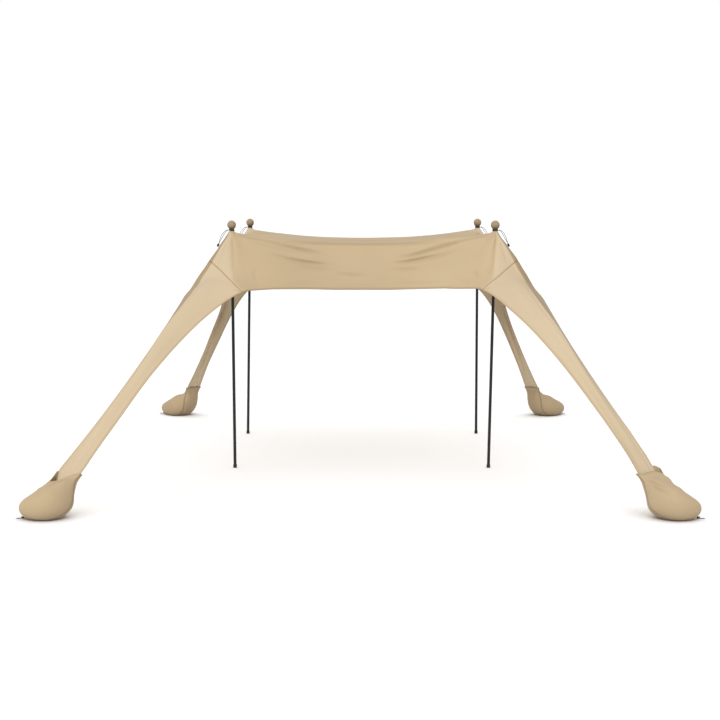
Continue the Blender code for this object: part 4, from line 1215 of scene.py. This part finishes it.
# the pouches: stations run from the mouth to the toe
pouches = {
    "stations": (0.0, 0.16, 0.36, 0.60, 0.82, 1.0),
    "lead": 0.55, "turn": 0.80, "square": 2.3, "round": 6,
    "segments": 28, "rings": 18, "firmRings": 3, "ease": 6,
    -1: {"widths": (0.116, 0.101, 0.129, 0.178, 0.174, 0.130),
         "heights": (0.030, 0.066, 0.110, 0.154, 0.139, 0.126), "bellyZ": 0.040, "toeZ": 0.086},
    1: {"widths": (0.084, 0.072, 0.113, 0.163, 0.172, 0.131),
        "heights": (0.028, 0.043, 0.084, 0.134, 0.128, 0.117), "bellyZ": 0.032, "toeZ": 0.071},
}
pouchLook = {
    "columns": 144, "rows": 84, "liningRows": 22, "grading": 1.25,
    "lining": 0.0045, "liningDepth": 0.26, "roll": 0.0016, "rollWidth": 0.013,
    "blend": 0.22, "lipRise": 0.010, "length": 0.62, "girth": 0.95, "ground": 0.010,
    # the shades below are painted shade: along the base seam, in folds, down the lining and over the back
    # pouches
    "seamDip": 0.0040, "seamReach": 0.006, "seamShade": 0.70,
    "foldShade": 11.0, "liningShade": 0.55, "backShade": 0.88,
    "sag": 0.0012, "sagSize": 0.34, "creep": 0.0002, "creepSize": 0.05,
}
# the rim of each mouth: degrees round from the inner side over the top, station, and how far it is
# pulled down onto the leg
lips = {
    "front_left": ((0, 0.02, 0.3), (36, 0.04, 0.75), (57, 0.06, 0.75), (78, 0.115, 0.75), (90, 0.16, 0.75),
                   (102, 0.21, 0.72), (126, 0.26, 0.38), (144, 0.285, 0.0), (153, 0.22, 0.0),
                   (162, 0.11, 0.0), (172, 0.03, 0.0), (186, 0.0, 0.3), (205, 0.0, 0.85), (335, 0.0, 0.85)),
    "front_right": ((0, 0.02, 0.3), (39, 0.04, 0.75), (60, 0.038, 0.75), (78, 0.030, 0.75),
                    (96, 0.015, 0.75), (111, 0.030, 0.7), (130, 0.065, 0.45), (145, 0.080, 0.2),
                    (156, 0.03, 0.1), (168, -0.02, 0.1), (182, -0.050, 0.2), (198, -0.075, 0.4),
                    (218, -0.095, 0.6), (240, -0.085, 0.75), (270, -0.02, 0.85), (335, 0.0, 0.85)),
    "back_left": ((0, 0.02, 0.3), (45, 0.05, 0.7), (75, 0.10, 0.75), (96, 0.16, 0.75), (120, 0.24, 0.5),
                  (140, 0.27, 0.0), (155, 0.16, 0.0), (166, 0.05, 0.0), (180, 0.0, 0.2), (205, 0.0, 0.85),
                  (335, 0.0, 0.85)),
}
lips["back_right"] = lips["back_left"]
# folds of a pouch, each point a station and degrees round
pouchFolds = {
    "front_left": [
        fold(((0.10, 50), (0.20, 68), (0.34, 76), (0.50, 66)), -0.0095, 0.008, 0.016, (0.3, 0.5)),
        fold(((0.09, 34), (0.22, 52), (0.38, 60), (0.56, 50)), -0.0100, 0.008, 0.018, (0.3, 0.5)),
        fold(((0.30, 120), (0.40, 92), (0.52, 74)), 0.0045, 0.014, 0.020, (0.2, 0.5)),
        fold(((0.05, 14), (0.22, 20), (0.40, 14)), -0.0030, 0.012, 0.020, (0.3, 0.5)),
    ],
    "front_right": [
        fold(((0.06, 36), (0.20, 40), (0.36, 44), (0.54, 44)), -0.0085, 0.010, 0.020, (0.35, 0.6)),
        fold(((0.14, 20), (0.34, 24), (0.52, 30), (0.70, 32)), -0.0075, 0.010, 0.020, (0.4, 0.6)),
        fold(((0.09, 84), (0.20, 78), (0.32, 74)), -0.0040, 0.012, 0.018, (0.3, 0.5)),
    ],
    "back_left": [
        fold(((0.26, 130), (0.40, 120), (0.55, 112)), -0.0045, 0.012, 0.018, (0.2, 0.5)),
        fold(((0.12, 60), (0.28, 62), (0.45, 56)), -0.0050, 0.012, 0.020, (0.3, 0.5)),
        fold(((0.06, 250), (0.16, 256), (0.30, 262)), -0.0035, 0.014, 0.020, (0.2, 0.5)),
    ],
}
pouchFolds["back_right"] = pouchFolds["back_left"]
# broad swells and hollows that set the outline: station and its spread, degrees and their spread, height
pouchForms = {
    "front_left": ((0.20, 0.10, 128, 32, 0.014), (0.60, 0.20, 106, 42, -0.015),
                   (0.47, 0.10, -52, 26, 0.014), (0.08, 0.10, -14, 30, 0.008)),
    "front_right": ((0.20, 0.10, 128, 32, 0.017), (0.64, 0.26, 106, 44, -0.020),
                    (0.47, 0.10, -52, 26, 0.016)),
    "back_left": (),
    "back_right": (),
}
# the seam round the base, from the mouth's one side past the toe to the other
baseSeam = ((0.0, 2), (0.12, 0), (0.24, -14), (0.43, -36), (0.62, -46), (0.82, -44), (0.94, -36))


# v is 0 at the mouth and 1 at the toe, and turn goes round from one side over the top
def pouchPoint(corner, v, turn):
    along = legFrame(corner)[2]
    shape = pouches[corner["end"]]
    mouth = np.array(corner["mouth"])
    belly = np.array([*corner["belly"], shape["bellyZ"]])
    toe = np.array([*corner["toe"], shape["toeZ"]])
    lead = mouth + along * np.linalg.norm(belly - mouth) * pouches["lead"]
    line = (1 - v) ** 3 * mouth + 3 * (1 - v) ** 2 * v * lead + 3 * (1 - v) * v * v * belly + v ** 3 * toe
    forward = unit((1 - v) ** 2 * (lead - mouth) + 2 * (1 - v) * v * (belly - lead) + v * v * (toe - belly))
    first = math.atan2(along[1], along[0])
    swing = (math.atan2(toe[1] - belly[1], toe[0] - belly[0]) - first + math.pi) % (2 * math.pi) - math.pi
    turnedBy = min(1.0, v / pouches["turn"])
    heading = first + swing * turnedBy ** 2 * (3 - 2 * turnedBy)
    side = np.array([-math.sin(heading), math.cos(heading), 0.0])
    side = unit(side - forward * (side @ forward))
    up = np.cross(forward, side)
    closing = math.sqrt(max(0.0, 1 - v ** pouches["round"]))
    width = smoothValue(pouches["stations"], shape["widths"], v) * closing
    height = smoothValue(pouches["stations"], shape["heights"], v) * closing
    c, s = math.cos(turn), math.sin(turn)
    c = math.copysign(abs(c) ** (2 / pouches["square"]), c)
    s = math.copysign(abs(s) ** (2 / pouches["square"]), s)
    return line + side * width * c + up * height * s


# the pouch's outer form as a grid of rings, eased as its solid is; the last column repeats the first
def pouchForm(corner):
    rings, segments = pouches["rings"], pouches["segments"]
    points = [pouchPoint(corner, math.sin(math.pi / 2 * r / rings), 2 * math.pi * k / segments)
              for r in range(rings) for k in range(segments)]
    points.append(pouchPoint(corner, 1.0, 0.0))
    faces = []
    for k in range(segments):
        m = (k + 1) % segments
        for r in range(rings - 1):
            this, ahead = r * segments, (r + 1) * segments
            faces.append((this + k, this + m, ahead + m, ahead + k))
        faces.append(((rings - 1) * segments + k, (rings - 1) * segments + m, rings * segments))
    points = np.array(points)
    beside = [set() for _ in points]
    for face in faces:
        for a, b in zip(face, face[1:] + face[:1]):
            beside[a].add(b)
            beside[b].add(a)
    for _ in range(pouches["ease"]):
        moved = points.copy()
        for v in range(pouches["firmRings"] * segments, len(points)):
            moved[v] = (points[v] + points[list(beside[v])].mean(axis=0)) / 2
        points = moved
    grid = points[:-1].reshape(rings, segments, 3)
    return np.concatenate([grid, np.repeat(points[-1:], segments, axis=0)[None]])


# a smooth curve through four neighbours, at share f between the middle two
def throughFour(p, q, r, s, f):
    return 0.5 * (2 * q + (r - p) * f + (2 * p - 5 * q + 4 * r - s) * f * f
                  + (3 * q - p - 3 * r + s) * f ** 3)


# places on the form at stations v and degrees, which are arrays of the same shape
def formPlaces(form, corner, v, degrees):
    rings, segments = pouches["rings"], pouches["segments"]
    turn = degrees if corner["side"] * corner["end"] > 0 else 180 - degrees
    k = (turn % 360) / 360 * segments
    column = np.floor(k).astype(int)
    f = (k - column)[..., None]
    ring = np.arcsin(np.clip(v, 0.0, 1.0)) / (math.pi / 2) * rings
    row = np.minimum(np.floor(ring).astype(int), rings - 1)
    g = (ring - row)[..., None]
    steps = (-1, 0, 1, 2)
    lines = []
    for down in steps:
        near = [form[np.clip(row + down, 0, rings), (column + across) % segments] for across in steps]
        lines.append(throughFour(*near, f))
    places = throughFour(*lines, g)
    past = np.minimum(v, 0.0)[..., None] * pouchLook["length"]
    return places + past * legFrame(corner)[2]


# unit normals of a grid whose columns run round; rows run from mouth to toe
def gridNormals(points, outward):
    down = np.gradient(points, axis=0)
    wrapped = np.concatenate([points[:, -1:], points, points[:, :1]], axis=1)
    around = (wrapped[:, 2:] - wrapped[:, :-2]) / 2
    normals = np.cross(around, down)
    length = np.linalg.norm(normals, axis=2, keepdims=True)
    normals = normals / np.maximum(length, 1e-9)
    if np.mean(np.einsum("ijk,ijk->ij", normals, points - outward)) < 0:
        normals = -normals
    normals[-1] = normals[-2].mean(axis=0) / max(np.linalg.norm(normals[-2].mean(axis=0)), 1e-9)
    return normals


# the rim's station at each column, and how far it is pulled down onto the leg
def lipPlaces(name, degrees):
    turns, stations, sinks = (np.array(v, float) for v in zip(*lips[name]))
    turns, stations, sinks = (np.concatenate([v[-1:] - w, v, v[:1] + w])
                              for v, w in ((turns, 360), (stations, 0), (sinks, 0)))
    lip, sink = np.interp(degrees, turns, stations), np.interp(degrees, turns, sinks)
    for _ in range(4):
        lip = (np.roll(lip, 1) + 2 * lip + np.roll(lip, -1)) / 4
        sink = (np.roll(sink, 1) + 2 * sink + np.roll(sink, -1)) / 4
    return lip, sink


# heights of a pouch's folds and soft swells, of its broad forms, and of its base seam
def pouchHeights(name, corner, form, points, normals, v, degrees):
    look = pouchLook
    flat, ways = points.reshape(-1, 3), normals.reshape(-1, 3)
    folds = []
    for item in pouchFolds[name]:
        line = smoothRoute([(station * 100, turn, 0.0) for station, turn in item["line"]], 4.0)
        route = formPlaces(form, corner, line[:, 0] / 100, line[:, 1])
        nearest = [flat[np.argmin(np.linalg.norm(flat - place, axis=1))] for place in route]
        folds.append((np.array(nearest), item))
    lift = foldHeights(flat, ways, folds)
    swell = np.zeros(v.shape)
    for station, spread, turn, turnSpread, height in pouchForms[name]:
        apart = (degrees - turn + 180) % 360 - 180
        swell += height * bell(v - station, spread) * bell(apart, turnSpread)[None]
    seamLift = np.zeros(len(flat))
    for mirror in (False, True):
        line = smoothRoute([(s * 100, 180 - t if mirror else t, 0.0) for s, t in baseSeam], 3.0)
        route = formPlaces(form, corner, line[:, 0] / 100, line[:, 1])
        seamFold = fold(baseSeam, 1.0, look["seamReach"], None, (0.02, 0.10))
        seamLift = np.maximum(seamLift, foldHeights(flat, ways, [(route, seamFold)]))
    lift += look["sag"] * softSwells(flat, look["sagSize"], 31) * smoothStep(v.ravel(), 0.15, 0.5)
    lift += look["creep"] * softSwells(flat, look["creepSize"], 41)
    lift = lift.reshape(v.shape) * (1 - smoothStep(v, 0.93, 1.0))
    seamLift = seamLift.reshape(v.shape)
    return lift, swell, seamLift


def makePouch(name, corner):
    look = pouchLook
    form = pouchForm(corner)
    columns, rows = look["columns"], look["rows"]
    degrees = np.arange(columns) * 360 / columns
    lip, sink = lipPlaces(name, degrees)
    lipRing = np.arcsin(lip)[None] / (math.pi / 2)
    down = (np.arange(rows + 1) / rows) ** look["grading"]
    v = np.sin(math.pi / 2 * (lipRing + (1 - lipRing) * down[:, None]))
    points = formPlaces(form, corner, v, np.broadcast_to(degrees, v.shape))
    _, _, along, _, up = legFrame(corner)
    mouth = np.array(corner["mouth"])
    high = (points - mouth) @ up
    pull = sink[None] * (1 - smoothStep(v - lip[None], 0.0, look["blend"]))
    rise = np.where(high > 0, look["lipRise"], -look["lipRise"] * 0.5)
    points = points - (pull * (high - rise))[..., None] * up
    normals = gridNormals(points, points.mean(axis=1, keepdims=True))
    lift, swell, seamLift = pouchHeights(name, corner, form, points, normals, v, degrees)
    # painted shade in the folds' hollows and along the base seam's groove, and painted light on the folds'
    # crests
    shade = 1 + np.clip(lift, -0.008, 0.003) * look["foldShade"]
    shade *= 1 - (1 - look["seamShade"]) * seamLift
    # the back pouches are painted darker throughout as painted shade
    if corner["end"] > 0:
        shade *= look["backShade"]
    fromLip = np.concatenate([np.zeros((1, columns)),
                              np.cumsum(np.linalg.norm(np.diff(points, axis=0), axis=2), axis=0)])
    # the rolled lip is painted darker as painted shade
    band = 1 - smoothStep(fromLip, look["rollWidth"] - 0.004, look["rollWidth"])
    shade *= 1 - 0.10 * band
    outer = points + normals * (lift + swell - look["seamDip"] * seamLift + look["roll"] * band)[..., None]
    # the lining goes down inside and closes over the sand
    inside = np.arange(look["liningRows"] + 1) / look["liningRows"]
    vIn = lip[None] + look["liningDepth"] * inside[:, None]
    ring = (np.arcsin(vIn) / (math.pi / 2) - lipRing) / (1 - lipRing)
    rowAt = ring ** (1 / look["grading"]) * rows
    low = np.minimum(rowAt.astype(int), rows - 1)
    share = (rowAt - low)[..., None]
    column = np.arange(columns)[None]
    lining = outer[low, column] * (1 - share) + outer[low + 1, column] * share
    facing = normals[low, column] * (1 - share) + normals[low + 1, column] * share
    lining = lining - facing * look["lining"]
    lipMiddle = (outer[0] + lining[0]) / 2 - along * look["lining"] * 0.4
    center = lining[-1].mean(axis=0)
    toe = outer[-1].mean(axis=0)
    table = np.concatenate([outer[-2::-1], lipMiddle[None], lining])
    count = len(table)
    allPoints = np.concatenate([table.reshape(-1, 3), toe[None], center[None]])
    allPoints[:, 2] = (allPoints[:, 2] + np.hypot(allPoints[:, 2], look["ground"])) / 2
    ids = np.arange(count * columns).reshape(count, columns)
    after = np.roll(ids, -1, axis=1)
    faces = np.stack([ids[:-1], after[:-1], after[1:], ids[1:]], axis=2).reshape(-1, 4)
    faces = [tuple(int(x) for x in face) for face in faces]
    faces += [(int(after[0, k]), int(ids[0, k]), count * columns) for k in range(columns)]
    faces += [(int(ids[-1, k]), int(after[-1, k]), count * columns + 1) for k in range(columns)]
    if corner["side"] * corner["end"] > 0:
        faces = [face[::-1] for face in faces]
    # painted shade inside the mouth: the lining darkens towards the sand, and the lip's rim is darker too
    liningShade = np.linspace(0.9, look["liningShade"], len(lining))[:, None] * np.ones((1, columns))
    allShade = np.concatenate([shade[-2::-1], np.full((1, columns), 0.85), liningShade]).ravel()
    allShade = np.append(allShade, [1.0, look["liningShade"]])
    inLining = np.full((len(lining), columns), 0.5)
    lengths = np.concatenate([fromLip[-2::-1], np.zeros((1, columns)), inLining])
    arc = np.broadcast_to(degrees / 360 * look["girth"], lengths.shape)
    edge = np.stack([arc.ravel(), lengths.ravel()], axis=1)
    edge = np.concatenate([edge, np.array([[0.0, 0.5], [0.0, 0.5]])])
    item = newPiece("sandPouch_" + name, allPoints, faces, {"cloth": edge, "edge": edge}, allShade,
                    pouchMaterial, around=look["girth"])
    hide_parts("pouch_" + name)
    return item


pouchItems = [makePouch(name, corner) for name, corner in corners.items()]
print("pouches: done")

# the balls under their gathered cloth, the wound ties and the toe knots
knobs = {
    "ball": 0.036, "neck": 0.0170, "neckTop": -0.037, "neckBottom": -0.061, "sphereTo": 138,
    "columns": 120, "gathers": 15, "gatherDepth": 0.0017, "crumple": 0.0005,
    "turns": 3, "tieCord": 0.0058, "tieRadius": 0.0203, "tieLow": 1.9768, "tieHigh": 1.9890,
    "knotCord": 0.0048, "knotHalf": (0.0100, 0.0072, 0.0060), "lowShade": 0.55,
}
tieTilts = {"front_left": 13.0, "front_right": -3.0, "back_left": 6.0, "back_right": -4.0}  # degrees


# a round tube along points; the reference direction is never along it
def tubePiece(name, points, radius, reference, closed, material):
    sides = 14
    if closed:
        tangents = np.roll(points, -1, axis=0) - np.roll(points, 1, axis=0)
    else:
        tangents = np.gradient(points, axis=0)
    tangents /= np.linalg.norm(tangents, axis=1)[:, None]
    first = np.cross(tangents, reference)
    first /= np.linalg.norm(first, axis=1)[:, None]
    second = np.cross(tangents, first)
    angles = 2 * math.pi * np.arange(sides) / sides
    table = (points[:, None] + radius * (np.cos(angles)[None, :, None] * first[:, None]
                                         + np.sin(angles)[None, :, None] * second[:, None]))
    count = len(points)
    ids = np.arange(count * sides).reshape(count, sides)
    rows = np.append(ids, ids[:1], axis=0) if closed else ids
    after = np.roll(rows, -1, axis=1)
    faces = np.stack([rows[:-1], rows[1:], after[1:], after[:-1]], axis=2).reshape(-1, 4)
    faces = [tuple(int(v) for v in face[::-1]) for face in faces]
    allPoints = table.reshape(-1, 3)
    if not closed:
        ends = np.array([points[0] - tangents[0] * radius * 0.6, points[-1] + tangents[-1] * radius * 0.6])
        allPoints = np.concatenate([allPoints, ends])
        faces += [(int(rows[0, k]), int(after[0, k]), count * sides)[::-1] for k in range(sides)]
        faces += [(int(after[-1, k]), int(rows[-1, k]), count * sides + 1)[::-1] for k in range(sides)]
    run = np.concatenate([[0.0], np.cumsum(np.linalg.norm(np.diff(points, axis=0), axis=1))])
    uv = np.stack([np.repeat(run, sides), np.tile(angles * radius, count)], axis=1)
    uv = np.concatenate([uv, np.zeros((len(allPoints) - len(uv), 2))])
    return newPiece(name, allPoints, faces, {"run": uv}, np.ones(len(allPoints)), material)


# two directions square to an axis
def squareTo(axis):
    first = unit(np.cross(axis, (0.0, 1.0, 0.0)))
    return first, np.cross(axis, first)


def makeCover(name, corner):
    axis, atHeight = poleLine(corner)
    middle = atHeight(tent["ballZ"])
    first, second = squareTo(axis)
    angles = np.radians(np.linspace(1.5, knobs["sphereTo"], 34))
    profile = [(knobs["ball"] * math.sin(t), knobs["ball"] * math.cos(t)) for t in angles]
    last = np.array(profile[-1])
    ahead = unit(last - np.array(profile[-2])) * 0.016
    neckTop = np.array([knobs["neck"], knobs["neckTop"]])
    for f in np.linspace(0, 1, 9)[1:]:
        spot = ((2 * f ** 3 - 3 * f ** 2 + 1) * last + (f ** 3 - 2 * f ** 2 + f) * ahead
                + (3 * f ** 2 - 2 * f ** 3) * neckTop + (f ** 3 - f ** 2) * np.array([0.0, -0.012]))
        profile.append(tuple(spot))
    profile += [(knobs["neck"], h) for h in np.linspace(knobs["neckTop"], knobs["neckBottom"], 9)[1:]]
    profile = np.array(profile)
    columns = knobs["columns"]
    turn = 2 * math.pi * np.arange(columns) / columns
    wave = np.cos(knobs["gathers"] * turn + 0.5 * np.sin(2 * turn) + corner["side"])
    wave = wave + 0.35 * np.cos(2 * knobs["gathers"] * turn + 1.3) + 0.3 * np.cos(7 * turn + corner["end"])
    depth = knobs["gatherDepth"] * smoothStep(-profile[:, 1], -0.006, 0.028)
    depth *= 1 - 0.45 * smoothStep(-profile[:, 1], 0.032, 0.037)
    radial = np.cos(turn)[:, None] * first + np.sin(turn)[:, None] * second
    wavy = profile[:, :1] + depth[:, None] * wave[None, :]
    table = middle + wavy[..., None] * radial[None] + profile[:, 1][:, None, None] * axis
    flat = table.reshape(-1, 3)
    flat = flat + (flat - middle) / knobs["ball"] * knobs["crumple"] * softSwells(flat, 0.03, 51)[:, None]
    points = np.concatenate([flat, [middle + axis * knobs["ball"], middle + axis * knobs["neckBottom"]]])
    count = len(profile)
    ids = np.arange(count * columns).reshape(count, columns)
    after = np.roll(ids, -1, axis=1)
    faces = np.stack([ids[:-1], ids[1:], after[1:], after[:-1]], axis=2).reshape(-1, 4)
    faces = [tuple(int(v) for v in face) for face in faces]
    faces += [(int(ids[0, k]), int(after[0, k]), count * columns) for k in range(columns)]
    faces += [(int(after[-1, k]), int(ids[-1, k]), count * columns + 1) for k in range(columns)]
    if np.dot(np.cross(first, second), axis) < 0:
        faces = [face[::-1] for face in faces]
    run = np.concatenate([[0.0], np.cumsum(np.linalg.norm(np.diff(profile, axis=0), axis=1))])
    uv = np.stack([np.tile(turn * knobs["ball"], count), np.repeat(run, columns)], axis=1)
    uv = np.concatenate([uv, np.zeros((2, 2))])
    # painted shade in the gathers' hollows and painted light on their crests, and a painted shadow
    # darkening the ball's underside and neck
    shade = 1 + (np.clip(depth[:, None] * wave[None, :], -0.002, 0.001) * 130).ravel()
    shade *= np.repeat(1 - (1 - knobs["lowShade"]) * smoothStep(-profile[:, 1], 0.004, 0.036), columns)
    item = newPiece("ballCover_" + name, points, faces, {"cloth": uv}, np.append(shade, [1.0, 1.0]),
                    coverMaterial, around=2 * math.pi * knobs["ball"])
    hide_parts("ball_" + name)


def makeTie(name, corner):
    axis, atHeight = poleLine(corner)
    low, high = atHeight(knobs["tieLow"]), atHeight(knobs["tieHigh"])
    tilt = math.radians(tieTilts[name])
    lean = np.array([math.sin(tilt), 0.0, math.cos(tilt)])
    lean = unit(lean + axis - (0.0, 0.0, 1.0))
    first, second = squareTo(lean)
    f = np.linspace(0.0, 1.0, 30 * knobs["turns"] + 1)
    turn = 2 * math.pi * knobs["turns"] * f + (math.pi if corner["side"] < 0 else 0.0)
    points = knobs["tieRadius"] * (np.cos(turn)[:, None] * first + np.sin(turn)[:, None] * second)
    points += (low + high) / 2 + np.outer((f - 0.5) * np.linalg.norm(high - low), lean)
    item = tubePiece("woundTie_" + name, points, knobs["tieCord"] / 2, lean, False, cordMaterial)
    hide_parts("tie_" + name)


def makeKnot(name, corner):
    t = np.linspace(0, 2 * math.pi, 97)[:-1]
    half = knobs["knotHalf"]
    points = np.stack([half[0] / 3 * (np.sin(t) + 2 * np.sin(2 * t)) * corner["side"],
                       half[1] / 3 * (np.cos(t) - 2 * np.cos(2 * t)) * corner["end"],
                       half[2] * np.sin(3 * t)], axis=1) + boxMiddle("toe_knot_" + name)
    item = tubePiece("toeKnot_" + name, points, knobs["knotCord"] / 2, (0.0, 0.0, 1.0), True, cordMaterial)
    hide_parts("toe_knot_" + name)


for name, corner in corners.items():
    makeCover(name, corner)
    makeTie(name, corner)
    makeKnot(name, corner)
print("balls, ties and knots: done")

# the solids that stay as they are
finishes = {"pole": tubeMaterial, "pole_foot": rubberMaterial, "cord_end": cordMaterial}
for kind, material in finishes.items():
    for name in corners:
        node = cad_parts[kind + "_" + name]
        node.data.materials.clear()
        node.data.materials.append(material)

# floor and light
studio = {"floor": 400.0, "floorColour": (0.95, 0.95, 0.95), "sky": (1.0, 1.0, 1.0), "skyPower": 0.62}
lamps = {
    "key": {"from": (-0.25, -0.72, 0.95), "softness": 36.0, "strength": 2.6, "onFloor": False},
    "wash": {"from": (0.0, 0.1, 1.0), "softness": 75.0, "strength": 1.75, "onFloor": True},
}

floorMesh = bpy.data.meshes.new("floor")
half = studio["floor"] / 2
floorCorners = [(-half, -half, 0), (half, -half, 0), (half, half, 0), (-half, half, 0)]
floorMesh.from_pydata(floorCorners, [], [(0, 1, 2, 3)])
floor = bpy.data.objects.new("floor", floorMesh)
bpy.context.scene.collection.objects.link(floor)
floorMaterial, _, floorShader = newMaterial("paleFloor")
floorShader.inputs["Base Color"].default_value = (*studio["floorColour"], 1.0)
floorShader.inputs["Roughness"].default_value = 0.9
floorMesh.materials.append(floorMaterial)

world = bpy.data.worlds.new("studio")
world.use_nodes = True
background = world.node_tree.nodes["Background"]
background.inputs["Color"].default_value = (*studio["sky"], 1.0)
seen = world.node_tree.nodes.new("ShaderNodeLightPath").outputs["Is Camera Ray"]
power = mathNode(world.node_tree, "MAXIMUM", seen, studio["skyPower"])
world.node_tree.links.new(power, background.inputs["Strength"])
bpy.context.scene.world = world


# a soft lamp for the tent alone, or one that whitens the floor alone, which only the pouches and
# the poles' feet shade
def addLamp(name, lamp):
    data = bpy.data.lights.new(name, "SUN")
    data.energy = lamp["strength"]
    data.angle = math.radians(lamp["softness"])
    item = bpy.data.objects.new(name, data)
    item.rotation_euler = (-Vector(lamp["from"])).to_track_quat("-Z", "Y").to_euler()
    bpy.context.scene.collection.objects.link(item)
    onlyFloor = bpy.data.collections.new(name + "Floor")
    onlyFloor.objects.link(floor)
    item.light_linking.receiver_collection = onlyFloor
    onlyFloor.collection_objects[0].light_linking.link_state = "INCLUDE" if lamp["onFloor"] else "EXCLUDE"
    if lamp["onFloor"]:
        blockers = bpy.data.collections.new(name + "Blockers")
        for blocker in pouchItems + [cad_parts["pole_foot_" + corner] for corner in corners]:
            blockers.objects.link(blocker)
        item.light_linking.blocker_collection = blockers


for name, lamp in lamps.items():
    addLamp(name, lamp)

bpy.context.scene.view_settings.view_transform = "Standard"
print("studio: done")
